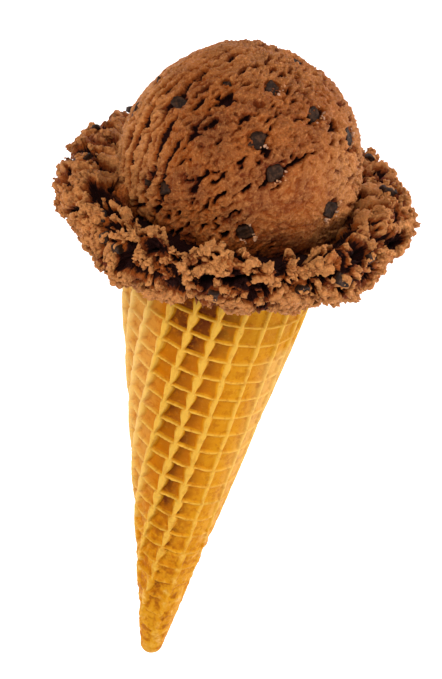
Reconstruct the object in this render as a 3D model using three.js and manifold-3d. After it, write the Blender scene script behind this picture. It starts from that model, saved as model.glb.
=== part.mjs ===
// An ice cream cone, lying on its side: a rolled sugar cone with a pressed waffle grid, and one
// scoop of chocolate ice cream with chocolate pieces in it, spread into a craggy collar where the
// scoop was pressed onto the cone.
//
// Lengths are in millimetres. Everything is shaped upright in the cone's own frame: the origin is the
// middle of the cone's mouth, +Z runs up the axis through the scoop, -Y is the front, +X the right,
// and a bearing is 0 at the front and a quarter turn at the right. The finished pieces then lie down
// in the part's frame: +Z up, +Y from the tip towards the scoop, front side up, the origin on the
// floor under the middle of the object.

import * as THREE from "three";
import { mergeVertices } from "three/addons/utils/BufferGeometryUtils.js";
import Module from "manifold-3d";

const wasm = await Module();
wasm.setup();
const { sin, cos, tan, hypot, atan2, floor, min, max, abs, PI } = Math;
const TURN = 2 * PI;
const degrees = THREE.MathUtils.degToRad;

// ---------- driving dimensions ----------

const GAP = 0.3; // clearance between the ice cream and the wafer
const REST_TILT = degrees(17.2); // how far the axis rises from the floor when the cone lies down
const FLOOR_BITE = 2.4; // how deep the collar is pressed flat where it lies
const TIP_BITE = 0.35; // the small flat that the tip rests on

const CONE = {
  mouthRadius: 26.3,
  halfAngle: degrees(11.52),
  tipRadius: 3.15,
  wall: 2.4,
  hollowBottom: -92, // the hollow ends here, above the solid tip
  seam: PI, // bearing at which the rolled sheet ends, at the back
  seamStep: 0.9, // the sheet's outer end stands this far above the turn under it
  seamFrom: 60, // slant distance from the apex at which the step is full
  sides: 26,
};
const HOLLOW_END = { share: 0.8, height: 2 }; // the hollow's bottom: its share of the width, its bevel
const APEX_TO_MOUTH = CONE.mouthRadius / tan(CONE.halfAngle);
const MOUTH_SLANT = CONE.mouthRadius / sin(CONE.halfAngle);

// The grid is pressed into the flat wafer before it is rolled, so its two sets of ribs are straight
// and square to each other on the unrolled sheet.
const GRID = {
  along: 5.59, // pitch between the ribs that cross the axis
  across: 6.39, // pitch between the ribs that run along it
  squareAt: degrees(41.8), // bearing at which the ribs run straight up the cone
  firstAlong: 0.02, // middle of the first cell on the unrolled sheet, from the apex
  firstAcross: -2.56,
  crossRib: 0.7, // width of a rib's top
  longRib: 1.8,
  pocketDepth: 1.2,
  wallLean: 1, // how far a pocket's wall leans in over its depth
  backing: 3.3, // the cut sheet's thickness, before the hollow is taken out of it
  start: 19.5, // the cells begin at this slant distance from the apex
  fullDepthFrom: 45,
};

const SCOOP = { x: 1, y: 0, z: 27.1, radius: 30.3, detail: 9 };

// The collar's section at the front and at the back, as distances from its middle line, every 30
// degrees from straight outwards and turning upwards.
const COLLAR = {
  middleRadius: 34,
  middleHeight: 11,
  front: [8.7, 8.3, 6, 4.6, 4.4, 5, 6, 9, 13.8, 11.4, 8.9, 8.4],
  back: [10.4, 12.3, 15.2, 12.3, 10, 9.2, 9, 10, 12.3, 8.5, 7.8, 8.6],
  frontTo: degrees(25), // the front section reaches this far to each side
  backFrom: degrees(100),
  edgeRadius: 45,
  leftIn: 1.2, // how much nearer the axis the collar is at the left, and farther at the right
  liftRight: 2.6, // how much higher the edge is at the right and at the back than at the front
  liftBack: 4.4,
  // Where it is pressed in or swells: [bearing, angle round the section, height, spread in degrees].
  swells: [
    [-41, -50, 3.4, 13], [-70, -28, -2.8, 12], [-86, 15, 1.2, 9], [-130, 50, 2.4, 16],
    [46, -78, -2.8, 8], [56, -45, 1.8, 8], [76, -22, -2.4, 12], [104, 20, 1.6, 14],
  ],
  around: 76,
  section: 16,
};

// The ice cream that fills the cone, and above it a core that the collar and the scoop sit on.
const FILLING = { slack: 0.3, shoulder: 30, shoulderHeight: 9, top: { radius: 22, height: 14 } };

// ---------- seeded noise ----------

// A repeatable number from 0 to 1 for a point of the integer grid.
function hash(x, y, z, seed) {
  let h = Math.imul(x, 374761393) ^ Math.imul(y, 668265263);
  h ^= Math.imul(z, 2147483647) ^ Math.imul(seed, 974634777);
  h = Math.imul(h ^ (h >>> 13), 1274126177);
  h = Math.imul(h ^ (h >>> 16), 2246822519);
  return ((h ^ (h >>> 15)) >>> 0) / 4294967296;
}

const fade = (t) => t * t * (3 - 2 * t);
const blend = (a, b, t) => a + (b - a) * t;
const clamp01 = (t) => min(1, max(0, t));
const ramp = (low, high, v) => fade(clamp01((v - low) / (high - low)));

// Smooth noise from -1 to 1: the grid's numbers blended over each cell.
function noise(x, y, z, seed) {
  const [i, j, k] = [floor(x), floor(y), floor(z)];
  const [u, v, w] = [fade(x - i), fade(y - j), fade(z - k)];
  const corner = (a, b, c) => hash(i + a, j + b, k + c, seed);
  const layer = (c) =>
    blend(blend(corner(0, 0, c), corner(1, 0, c), u), blend(corner(0, 1, c), corner(1, 1, c), u), v);
  return 2 * blend(layer(0), layer(1), w) - 1;
}

// ---------- meshes and solids ----------

// A solid from vertices [x, y, z] and triangles [a, b, c].
function solid(vertices, triangles) {
  return new wasm.Manifold(
    new wasm.Mesh({
      numProp: 3,
      vertProperties: new Float32Array(vertices.flat()),
      triVerts: new Uint32Array(triangles.flat()),
    }),
  );
}

// A solid from a three.js geometry whose faces close once their shared vertices are merged.
function solidOf(geometry) {
  const bare = geometry.clone();
  bare.deleteAttribute("normal");
  bare.deleteAttribute("uv");
  const merged = mergeVertices(bare, 1e-4);
  return new wasm.Manifold(
    new wasm.Mesh({
      numProp: 3,
      vertProperties: merged.attributes.position.array,
      triVerts: new Uint32Array(merged.index.array),
    }),
  );
}

function geometryOf(made) {
  const mesh = made.getMesh();
  const geometry = new THREE.BufferGeometry();
  geometry.setAttribute("position", new THREE.BufferAttribute(mesh.vertProperties, 3));
  geometry.setIndex(new THREE.BufferAttribute(mesh.triVerts, 1));
  geometry.computeVertexNormals();
  return geometry;
}

// A solid of revolution about the axis, from points [radius, height] that run from the bottom of the
// axis to its top.
function turned(points, sides) {
  const profile = points.map(([r, z]) => new THREE.Vector2(r, z));
  return solidOf(new THREE.LatheGeometry(profile, sides).rotateX(PI / 2));
}

// The largest body of a solid, so that no loose scrap stays beside it.
function largest(made) {
  return made.decompose().sort((a, b) => b.volume() - a.volume())[0];
}

const spot = (bearing, radius, height) => [radius * sin(bearing), -radius * cos(bearing), height];

// ---------- the wafer ----------

// Height of the wafer's outer face over its mean cone: the sheet climbs one step in a full turn, and
// less near the tip.
function sheetRise(slant, bearing) {
  const turn = (bearing - (CONE.seam - TURN)) / TURN;
  return CONE.seamStep * (turn - 0.5) * ramp(0, CONE.seamFrom, slant);
}

// A point at a slant distance from the apex, at a bearing, and at a height off the outer face.
function waferPoint(slant, bearing, off) {
  const lift = off + sheetRise(slant, bearing);
  const radius = slant * sin(CONE.halfAngle) + lift * cos(CONE.halfAngle);
  const height = slant * cos(CONE.halfAngle) - lift * sin(CONE.halfAngle) - APEX_TO_MOUTH;
  return spot(bearing, radius, height);
}

// Slant distance and bearing of a point of the unrolled sheet.
function rolled(along, across) {
  return [hypot(along, across), GRID.squareAt + atan2(across, along) / sin(CONE.halfAngle)];
}

// The cells of the grid, as [row, column], that cover the side of the cone from the front to the
// seam: 1 for the right side, -1 for the left one. The last ones reach a little past the seam.
function cellsOf(side) {
  const cells = [];
  const most = Math.ceil(MOUTH_SLANT / min(GRID.along, GRID.across)) + 1;
  for (let row = -most; row <= most; row++)
    for (let column = -most; column <= most; column++) {
      const [slant, bearing] = rolled(...cellPoint(row, column, 0, 0));
      const past = (0.75 * GRID.across) / (slant * sin(CONE.halfAngle));
      const turn = side * bearing;
      const onSide = (side > 0 ? turn >= 0 : turn > 0) && turn < PI + past;
      if (onSide && slant > GRID.start && slant < MOUTH_SLANT + 0.8 * GRID.along) cells.push([row, column]);
    }
  return cells;
}

// A point of a cell on the unrolled sheet, at shares of half its size from its middle.
function cellPoint(row, column, i, j) {
  const along = GRID.firstAlong + (row + i / 2) * GRID.along;
  const across = GRID.firstAcross + (column + j / 2) * GRID.across;
  return [along, across];
}

// A thick curved sheet of grid cells: each has a sunk pocket with leaning walls, and ribs round it.
function sheetOf(cells) {
  const vertices = [];
  const triangles = [];
  const numbers = new Map();
  const number = (name, along, across, off) => {
    if (!numbers.has(name)) {
      numbers.set(name, vertices.length);
      vertices.push(waferPoint(...rolled(along, across), off));
    }
    return numbers.get(name);
  };
  const quad = (a, b, c, d) => triangles.push([a, c, b], [a, d, c]);
  const around = [[-1, -1], [1, -1], [1, 1], [-1, 1]];
  const taken = new Set(cells.map(String));
  const pocketAt = (row, column, depth) => {
    const lean = GRID.wallLean * (depth / GRID.pocketDepth);
    const shareAlong = (GRID.along - GRID.crossRib - 2 * lean) / GRID.along;
    const shareAcross = (GRID.across - GRID.longRib - 2 * lean) / GRID.across;
    return around.map(([i, j]) => {
      const place = cellPoint(row, column, i * shareAlong, j * shareAcross);
      return number(`pocket ${row} ${column} ${i} ${j} ${depth}`, ...place, -depth);
    });
  };
  const cornersAt = (row, column, off) =>
    around.map(([i, j]) => {
      const place = cellPoint(row, column, i, j);
      return number(`corner ${2 * row + i} ${2 * column + j} ${off}`, ...place, off);
    });
  for (const [row, column] of cells) {
    const [slant] = rolled(...cellPoint(row, column, 0, 0));
    const depth = GRID.pocketDepth * blend(0.4, 1, ramp(GRID.start, GRID.fullDepthFrom, slant));
    const top = cornersAt(row, column, 0);
    const rim = pocketAt(row, column, 0);
    const bed = pocketAt(row, column, depth);
    const under = cornersAt(row, column, -GRID.backing);
    quad(...bed);
    quad(...[...under].reverse());
    for (let k = 0; k < 4; k++) {
      const n = (k + 1) % 4;
      quad(top[k], top[n], rim[n], rim[k]);
      quad(rim[k], rim[n], bed[n], bed[k]);
    }
    // The cell's edges with no neighbour get a wall; each edge is cut along the same diagonal from
    // both of its sides.
    if (!taken.has(String([row - 1, column]))) quad(top[3], under[3], under[0], top[0]);
    if (!taken.has(String([row + 1, column]))) quad(top[2], top[1], under[1], under[2]);
    if (!taken.has(String([row, column - 1]))) quad(top[0], under[0], under[1], top[1]);
    if (!taken.has(String([row, column + 1]))) quad(top[3], top[2], under[2], under[3]);
  }
  return solid(vertices, triangles);
}

// The blunt tip, and above it a solid core that lies under the floors of the grid's pockets.
function waferTip() {
  const { tipRadius, halfAngle } = CONE;
  const profile = [];
  const steps = 5;
  for (let k = 0; k <= steps; k++) {
    const turn = (PI / 2 - halfAngle) * (k / steps);
    const height = tipRadius / sin(halfAngle) - tipRadius * cos(turn) - APEX_TO_MOUTH;
    profile.push([tipRadius * sin(turn), height]);
  }
  const face = (slant, off) => [slant * sin(halfAngle) - off, slant * cos(halfAngle) - APEX_TO_MOUTH];
  const core = [face(0.88 * GRID.start, 0.05), face(GRID.start, 0.7), face(1.5 * GRID.start, 1.8)];
  const top = CONE.hollowBottom + 8;
  profile.push(...core, [(top + APEX_TO_MOUTH) * tan(halfAngle) - 1.7, top], [0, top]);
  return turned(profile, 16);
}

// Radius of the wafer's inner face at a height.
const wallInside = (z) => CONE.mouthRadius + z * tan(CONE.halfAngle) - CONE.wall / cos(CONE.halfAngle);

// The hollow that the sheet is rolled round, open at the mouth.
function waferHollow() {
  const [bottom, above] = [CONE.hollowBottom, 3];
  const profile = [
    [0, bottom],
    [wallInside(bottom) * HOLLOW_END.share, bottom],
    [wallInside(bottom + HOLLOW_END.height), bottom + HOLLOW_END.height],
    [wallInside(above), above],
    [0, above],
  ];
  return turned(profile, CONE.sides);
}

// The rolled wafer: the sheet goes round from the seam at the back, by the right, the front and the
// left, to the seam again, where each of its two ends is cut off square.
function makeWafer() {
  const long = 3 * APEX_TO_MOUTH;
  const box = new THREE.BoxGeometry(long, long, long);
  const backQuarter = (side) => solidOf(box.clone().translate((side * long) / 2, long / 2, 0));
  const right = sheetOf(cellsOf(1)).subtract(backQuarter(-1));
  const left = sheetOf(cellsOf(-1)).subtract(backQuarter(1));
  const blank = wasm.Manifold.union([right, left, waferTip()]).subtract(waferHollow());
  return largest(blank.trimByPlane([0, 0, -1], 0));
}

// ---------- the ice cream ----------

// The scoop was turned about this axis as it was drawn, so its drag marks are circles round it.
const DRAG_AXIS = new THREE.Vector3(0.542, -0.794, -0.274).normalize();

// Depth of the drag marks, from 0 to 1, in a direction from the scoop's middle: noise that is long
// round the drag axis and short along it.
function dragMarks(direction) {
  const polar = Math.acos(THREE.MathUtils.clamp(direction.dot(DRAG_AXIS), -1, 1));
  const flat = direction.clone().addScaledVector(DRAG_AXIS, -direction.dot(DRAG_AXIS));
  const stretch = 0.42;
  const wave = noise(polar * 9.5, flat.x * 3.4 * stretch + 9, flat.y * 3.4 * stretch + flat.z * 1.4, 5);
  return ramp(0.15, 0.75, wave) * ramp(0.25, 0.7, polar);
}

// The scoop: a ball, a little uneven, with the drag marks sunk into it.
function makeScoop() {
  const geometry = new THREE.IcosahedronGeometry(1, SCOOP.detail);
  const position = geometry.attributes.position;
  const direction = new THREE.Vector3();
  for (let i = 0; i < position.count; i++) {
    direction.fromBufferAttribute(position, i).normalize();
    const { x, y, z } = direction;
    const swell = 0.55 * noise(x * 2.1, y * 2.1, z * 2.1, 1) + 0.4 * noise(x * 6, y * 6, z * 6, 2);
    const radius = SCOOP.radius + swell - 1.5 * dragMarks(direction);
    position.setXYZ(i, SCOOP.x + radius * x, SCOOP.y + radius * y, SCOOP.z + radius * z);
  }
  return solidOf(geometry);
}

// Distance from the collar's middle line to its face, at a bearing and an angle round its section.
function collarReach(bearing, angle) {
  const steps = COLLAR.front.length;
  const at = (((angle / TURN) % 1) + 1) * steps;
  const [low, high, part] = [floor(at) % steps, (floor(at) + 1) % steps, fade(at - floor(at))];
  const behind = ramp(-cos(COLLAR.frontTo), -cos(COLLAR.backFrom), -cos(bearing));
  const { front, back } = COLLAR;
  return blend(blend(front[low], front[high], part), blend(back[low], back[high], part), behind);
}

// How far the collar swells out at a bearing and an angle round its section, from -180 to 180 degrees.
function collarSwell(bearing, angle) {
  const round = (a) => a - TURN * Math.round(a / TURN);
  const swellOf = ([atBearing, atAngle, height, spread]) => {
    const away = hypot(round(bearing - degrees(atBearing)), round(angle - degrees(atAngle)) / 2);
    return height * Math.exp(-((away / degrees(spread)) ** 2));
  };
  return COLLAR.swells.map(swellOf).reduce((sum, swell) => sum + swell, 0);
}

// A point of the collar at a bearing round the cone and an angle round its section, pushed out of its
// section by a distance. The collar's edge waves, and stands a little higher at the right and the back.
function collarPoint(bearing, angle, push) {
  const wave = 0.9 * cos(5 * bearing + 0.6) + 0.7 * cos(9 * bearing - 1.1) + 0.5 * cos(14 * bearing + 2);
  const smooth = collarReach(bearing, angle) + wave * max(0, cos(angle)) + collarSwell(bearing, angle);
  const reach = smooth + push;
  const radius = COLLAR.middleRadius + COLLAR.leftIn * sin(bearing) + reach * cos(angle);
  const share = max(0, (radius - CONE.mouthRadius) / (COLLAR.edgeRadius - CONE.mouthRadius));
  const lift = share * (COLLAR.liftRight * max(0, sin(bearing)) + COLLAR.liftBack * max(0, -cos(bearing)));
  return spot(bearing, radius, COLLAR.middleHeight + reach * sin(angle) + lift);
}

// Crags of the collar: big lumps, and clefts between smaller ones.
function collarCrags(x, y, z) {
  const lumps = 1.7 * noise(x / 7.5, y / 7.5, z / 7.5, 11);
  const clefts = 1.9 * (1 - 2 * abs(noise(x / 4.6, y / 4.6, z / 4.6, 12)));
  return lumps + clefts - 0.6;
}

// The collar: its section carried round the cone, with crags on it.
function makeCollar() {
  const { around, section } = COLLAR;
  const vertices = [];
  const triangles = [];
  for (let i = 0; i < around; i++)
    for (let j = 0; j < section; j++) {
      const [bearing, angle] = [(TURN * i) / around, (TURN * j) / section];
      const smooth = collarPoint(bearing, angle, 0);
      vertices.push(collarPoint(bearing, angle, collarCrags(...smooth)));
      const [a, b] = [i * section + j, i * section + ((j + 1) % section)];
      const [c, d] = [a, b].map((v) => (v + section) % (around * section));
      triangles.push([a, c, d], [a, d, b]);
    }
  return solid(vertices, triangles);
}

// The ice cream under the scoop: it fills the cone and carries the collar.
function makeFilling() {
  const { slack, shoulder, shoulderHeight, top } = FILLING;
  const inside = (z) => wallInside(z) - GAP - slack;
  const bottom = CONE.hollowBottom + GAP + slack;
  const profile = [
    [0, bottom],
    [inside(bottom) * HOLLOW_END.share, bottom],
    [inside(bottom + HOLLOW_END.height), bottom + HOLLOW_END.height],
    [inside(GAP), GAP],
    [shoulder, GAP],
    [shoulder, shoulderHeight],
    [top.radius, top.height],
    [0, top.height],
  ];
  return turned(profile, 40);
}

// What the ice cream keeps clear of: the wafer's wall with the gap round it.
function waferClearance() {
  const outer = (z) => CONE.mouthRadius + CONE.seamStep / 2 + GAP + z * tan(CONE.halfAngle);
  const inner = (z) => wallInside(z) - GAP;
  const low = -30;
  const corners = [[inner, low], [outer, low], [outer, GAP], [inner, GAP], [inner, low]];
  return turned(corners.map(([face, height]) => [face(height), height]), 40);
}

// ---------- the chocolate pieces ----------

// Pieces on the front of the scoop, in degrees and millimetres: [bearing, latitude, length, width,
// spin], with the length level where the spin is 0.
const SCOOP_CHIPS = [
  [-45, 35, 4.9, 3.1, -8], [-20, 51, 2.3, 2.1, 20], [15, 55, 3.4, 4.2, -25], [44, 41, 3.2, 3.8, 15],
  [6, 27, 3.4, 4.9, -12], [17, 13, 4.1, 3.6, 25], [70, 27, 3.4, 4.2, 10], [75, 72, 3.2, 2.8, 0],
  [-83, 17, 3.4, 5.6, 5], [-84, 36, 2.0, 1.8, 0], [53, -5, 4.9, 4.2, -20], [8, -18, 4.0, 3.6, 30],
  [-35, -6, 3.2, 2.9, 10], [-47, -7, 1.8, 2.0, 0],
];
// Pieces on the collar: [bearing, angle round its section, length, width, spin].
const COLLAR_CHIPS = [
  [-81, 64, 3.9, 4.0, 20], [-48, 30, 2.4, 2.5, 0], [-43, 0, 3.2, 3.0, 30], [-34, -2, 2.8, 2.1, 15],
  [0, -42, 2.4, 3.5, -10], [94, 72, 3.2, 3.6, 20], [122, 66, 3.0, 2.4, 0], [44, -10, 6.4, 3.0, -20],
  [57, 18, 3.0, 2.4, 15], [31, -30, 2.8, 2.6, 0],
];
const CHIP_STAND = 0.5; // how far a chip stands out of the ice cream
const BACK_CHIPS = {
  seed: 77,
  onScoop: { count: 10, ranges: [[105, 262], [-22, 75], [2.6, 5], [2, 3.4], [-45, 45]] },
  onCollar: { count: 10, ranges: [[130, 262], [-10, 75], [2.6, 5], [2, 3.4], [-45, 45]] },
};

// One piece of broken chocolate: a squared slab with eight corners knocked unevenly, lying flat on
// the surface at a point, turned there by its spin, and sunk by most of its thickness.
function chip(point, outward, length, width, spin, seed) {
  const level = new THREE.Vector3(0, 0, 1).cross(outward).normalize();
  const spun = level.applyAxisAngle(outward, degrees(spin));
  const side = new THREE.Vector3().crossVectors(outward, spun);
  const thick = 1.5 + 0.5 * hash(seed, 1, 2, 9);
  const geometry = new THREE.BoxGeometry(length, width, 2 * thick);
  const position = geometry.attributes.position;
  const knock = (k, axis) => 1.1 - 0.4 * hash(seed, k, axis, 31);
  for (let i = 0; i < position.count; i++) {
    const v = new THREE.Vector3().fromBufferAttribute(position, i);
    const k = (v.x > 0) + 2 * (v.y > 0) + 4 * (v.z > 0);
    const drop = v.z > 0 ? 1 - 0.12 * hash(seed, k, 2, 31) : 1;
    position.setXYZ(i, v.x * knock(k, 0), v.y * knock(k, 1), v.z * drop);
  }
  const place = new THREE.Matrix4().makeBasis(spun, side, outward);
  const stand = outward.clone().multiplyScalar(CHIP_STAND - thick);
  place.setPosition(point.clone().add(stand));
  return solidOf(geometry.applyMatrix4(place));
}

// A chip on the scoop, at a bearing and a latitude.
function scoopChip([bearing, latitude, length, width, spin], seed) {
  const [b, l] = [degrees(bearing), degrees(latitude)];
  const outward = new THREE.Vector3(...spot(b, cos(l), sin(l)));
  const middle = new THREE.Vector3(SCOOP.x, SCOOP.y, SCOOP.z);
  return chip(middle.addScaledVector(outward, SCOOP.radius), outward, length, width, spin, seed);
}

// A chip on the collar, at a bearing and an angle round its section.
function collarChip([bearing, angle, length, width, spin], seed) {
  const [b, a] = [degrees(bearing), degrees(angle)];
  const smooth = collarPoint(b, a, 0);
  const point = new THREE.Vector3(...collarPoint(b, a, collarCrags(...smooth)));
  const outward = new THREE.Vector3(...spot(b, cos(a), sin(a)));
  return chip(point, outward, length, width, spin, seed);
}

// Chips all round the back, by a seeded draw within ranges of bearing, angle, length, width and spin.
function backChips() {
  const { seed, onScoop, onCollar } = BACK_CHIPS;
  const draw = ({ ranges }, k, first) =>
    ranges.map(([low, high], n) => blend(low, high, hash(first + k, n, 7, seed)));
  const made = [];
  for (let k = 0; k < onScoop.count; k++) made.push(scoopChip(draw(onScoop, k, 50), 50 + k));
  for (let k = 0; k < onCollar.count; k++) made.push(collarChip(draw(onCollar, k, 90), 90 + k));
  return made;
}

function makeIceCream() {
  const collarChips = COLLAR_CHIPS.map((row, k) => collarChip(row, 20 + k));
  const chips = [...SCOOP_CHIPS.map(scoopChip), ...collarChips, ...backChips()];
  const mass = wasm.Manifold.union([makeScoop(), makeCollar(), makeFilling(), ...chips]);
  return largest(mass.subtract(waferClearance()));
}

// ---------- lying down ----------

// Height over the floor of the upright frame's axes once the cone lies with its front up.
const LYING = new THREE.Matrix4().makeRotationX(REST_TILT - PI / 2);

// Cuts away what would be under the floor, which is at a height given in the lying position.
function restOn(made, floorHeight) {
  const up = [0, -cos(REST_TILT), sin(REST_TILT)];
  return largest(made.trimByPlane(up, floorHeight));
}

// The lowest point of a solid in the lying position.
function lowest(made) {
  const points = made.getMesh().vertProperties;
  let low = Infinity;
  for (let i = 0; i < points.length; i += 3)
    low = min(low, -cos(REST_TILT) * points[i + 1] + sin(REST_TILT) * points[i + 2]);
  return low;
}

function makeMesh(name, made, colour, roughness) {
  const material = new THREE.MeshStandardMaterial({ color: colour, roughness, metalness: 0 });
  const mesh = new THREE.Mesh(geometryOf(made), material);
  mesh.name = name;
  return mesh;
}

const wafer = makeWafer();
const iceCream = makeIceCream();
const floorHeight = max(lowest(wafer) + TIP_BITE, lowest(iceCream) + FLOOR_BITE);

const upright = new THREE.Group();
upright.add(makeMesh("wafer_cone", restOn(wafer, floorHeight), 0xdc9f3f, 0.7));
upright.add(makeMesh("ice_cream", restOn(iceCream, floorHeight), 0x9a6238, 0.8));
upright.applyMatrix4(LYING);

const part = new THREE.Group();
part.add(upright);
const bounds = new THREE.Box3().setFromObject(part, true);
const middle = bounds.getCenter(new THREE.Vector3());
upright.position.set(-middle.x, -middle.y, -bounds.min.z);

export default part;
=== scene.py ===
"""Dresses an ice cream cone that lies on its side: a rolled sugar cone with a pressed grid, and one
ball of chocolate ice cream with chocolate pieces in it, spread into a craggy collar at the cone.

Shapes are worked out upright, in millimetres, in the cone's own frame: the origin is the middle of
the cone's mouth, +Z runs up the axis through the ball, -Y is the front and +X the right. A bearing is
0 at the front and a quarter turn at the right. RestPose then lays the points down in the frame's
metres.
"""

from __future__ import annotations

import itertools
import logging
import math
from dataclasses import dataclass, field
from enum import Enum

import bpy
import numpy as np
from mathutils import Matrix, Vector


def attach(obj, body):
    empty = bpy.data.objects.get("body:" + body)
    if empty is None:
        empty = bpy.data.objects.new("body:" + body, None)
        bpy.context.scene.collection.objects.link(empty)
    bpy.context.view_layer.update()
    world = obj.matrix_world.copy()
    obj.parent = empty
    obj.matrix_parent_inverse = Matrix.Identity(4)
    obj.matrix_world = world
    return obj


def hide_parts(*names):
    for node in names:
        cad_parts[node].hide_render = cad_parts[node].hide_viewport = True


LOG = logging.getLogger("cone")
MM = 0.001
TURN = 2 * math.pi
WORD = 2.0**32
CORNERS = tuple(itertools.product((0, 1), repeat=3))

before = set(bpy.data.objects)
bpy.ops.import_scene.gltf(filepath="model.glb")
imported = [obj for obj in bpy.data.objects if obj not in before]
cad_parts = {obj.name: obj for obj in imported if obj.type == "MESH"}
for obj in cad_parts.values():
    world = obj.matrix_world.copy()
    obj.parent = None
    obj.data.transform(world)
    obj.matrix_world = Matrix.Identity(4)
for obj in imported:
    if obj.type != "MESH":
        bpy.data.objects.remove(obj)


# ---------- numbers ----------


def fade(t: np.ndarray) -> np.ndarray:
    """Smooth step from 0 to 1 with flat ends, for t from 0 to 1."""
    return t * t * (3 - 2 * t)


def ramp(low: float | np.ndarray, high: float | np.ndarray, value: np.ndarray) -> np.ndarray:
    """How far a value is from low to high, as a smooth step that stays at 0 and 1 outside."""
    return fade(np.clip((value - low) / (high - low), 0.0, 1.0))


def blend(a: np.ndarray, b: np.ndarray, share: np.ndarray) -> np.ndarray:
    """a where share is 0, b where it is 1."""
    return a + (b - a) * share


def bell(value: np.ndarray) -> np.ndarray:
    """A bell curve: 1 at 0, and about a third at 1."""
    return np.exp(-(value**2))


def unit(vector: np.ndarray) -> np.ndarray:
    """One vector, made 1 long."""
    return vector / np.linalg.norm(vector)


def lattice_bits(cells: np.ndarray, seed: int) -> np.ndarray:
    """Repeatable random bits for the points of the whole-number grid, by mixing their coordinates.

    Args:
        cells: Whole places, with x, y and z last.
        seed: Chooses the pattern.

    Returns:
        32 bits for each place.
    """
    i, j, k = np.moveaxis(cells.astype(np.int64).astype(np.uint32), -1, 0)
    seeded = np.uint32(seed * 974634777 & 0xFFFFFFFF)
    h = i * np.uint32(374761393) ^ j * np.uint32(668265263)
    h = h ^ k * np.uint32(2147483647) ^ seeded
    h = (h ^ (h >> np.uint32(13))) * np.uint32(1274126177)
    h = (h ^ (h >> np.uint32(16))) * np.uint32(2246822519)
    return h ^ (h >> np.uint32(15))


def corner_share(weight: np.ndarray, corner: tuple[int, ...]) -> np.ndarray:
    """A corner's share of places in a cell: the product of how near they are to it each way.

    Args:
        weight: How far the places are along the cell, from 0 to 1, with x, y and z last.
        corner: The corner, as 0 or 1 each way.

    Returns:
        One share for each place.
    """
    share = np.ones(weight.shape[:-1])
    for n in range(3):
        share = share * (weight[..., n] if corner[n] else 1 - weight[..., n])
    return share


def value_noise(points: np.ndarray, seed: int) -> np.ndarray:
    """Smooth noise from -1 to 1: random numbers at whole points, blended over each cell.

    Args:
        points: Places, in cells, with x, y and z last.
        seed: Chooses the pattern.

    Returns:
        One number for each place.
    """
    base = np.floor(points)
    weight = fade(points - base)
    total = np.zeros(points.shape[:-1])
    for corner in CORNERS:
        total += corner_share(weight, corner) * lattice_bits(base + corner, seed) / WORD
    return 2 * total - 1


def gradient_noise(points: np.ndarray, seed: int) -> np.ndarray:
    """Smooth noise, about -1 to 1 and zero on whole points: a random slope at each, blended between.

    Args:
        points: Places, in cells, with x, y and z last.
        seed: Chooses the pattern.

    Returns:
        One number for each place.
    """
    base = np.floor(points)
    inside = points - base
    weight = inside**3 * (inside * (inside * 6 - 15) + 10)
    total = np.zeros(points.shape[:-1])
    for corner in CORNERS:
        bits = lattice_bits(base + corner, seed)
        slope = np.zeros(points.shape[:-1])
        for n in range(3):
            part = ((bits >> np.uint32(10 * n)) & np.uint32(1023)) / 511.5 - 1
            slope += part * (inside[..., n] - corner[n])
        total += corner_share(weight, corner) * slope
    return 1.7 * total


def grain(points: np.ndarray, size: float, octaves: int, seed: int, keep: float = 0.5,
          creased: bool = False) -> np.ndarray:
    """Fractal noise: gradient noise summed over finer and finer copies.

    Args:
        points: Places, with x, y and z last.
        size: Size of the largest features.
        octaves: How many copies.
        seed: Chooses the pattern.
        keep: Each copy's share of the last one's height.
        creased: Whether what is under 0 is turned up, for round lumps with creases between them.

    Returns:
        From about -1 to 1, or from 0 in a crease to about 1.
    """
    total = np.zeros(points.shape[:-1])
    height, all_heights = 1.0, 0.0
    for n in range(octaves):
        noise = gradient_noise(points / size, seed + n)
        total += height * (np.minimum(1.0, 2.2 * np.abs(noise)) if creased else noise)
        all_heights += height
        size *= 0.47 if creased else 0.5
        height *= keep
    return total / all_heights


@dataclass(frozen=True)
class Noise:
    """Smooth noise over a face: its features' size and its height, in millimetres, and its seed."""

    size: float
    height: float
    seed: int

    def over(self, points: np.ndarray) -> np.ndarray:
        """The noise at points, from about -height to height."""
        return self.height * gradient_noise(points / self.size, self.seed)

    def warp(self, points: np.ndarray) -> np.ndarray:
        """Points pushed about by the noise, with a pattern of its own for each axis."""
        pushes = [gradient_noise(points / self.size, self.seed + n) for n in range(3)]
        return points + self.height * np.stack(pushes, -1)


def spot(bearing: np.ndarray, radius: np.ndarray, height: np.ndarray) -> np.ndarray:
    """Points at bearings round the axis, distances from it, and heights."""
    across, forward, up = radius * np.sin(bearing), -radius * np.cos(bearing), height + 0 * bearing
    return np.stack(np.broadcast_arrays(across, forward, up), -1)


def dense_front(even: np.ndarray, gather: float = 0.4) -> np.ndarray:
    """Even bearings brought closer together at the front: less a share of their own sine."""
    return even - gather * np.sin(even)


def ball_grid(rows: int, columns: int) -> np.ndarray:
    """Points of a ball of radius 1, by latitude and bearing.

    Args:
        rows: Number of latitudes.
        columns: Number of bearings.

    Returns:
        The rows of points, and then the two poles.
    """
    rise = (np.arange(rows) + 0.5) / rows * math.pi - math.pi / 2
    ring, turn = np.meshgrid(rise, np.arange(columns) * TURN / columns, indexing="ij")
    grid = spot(turn, np.cos(ring), np.sin(ring)).reshape(-1, 3)
    return np.concatenate((grid, [[0, 0, -1.0], [0, 0, 1.0]]))


# ---------- the frame ----------


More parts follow.
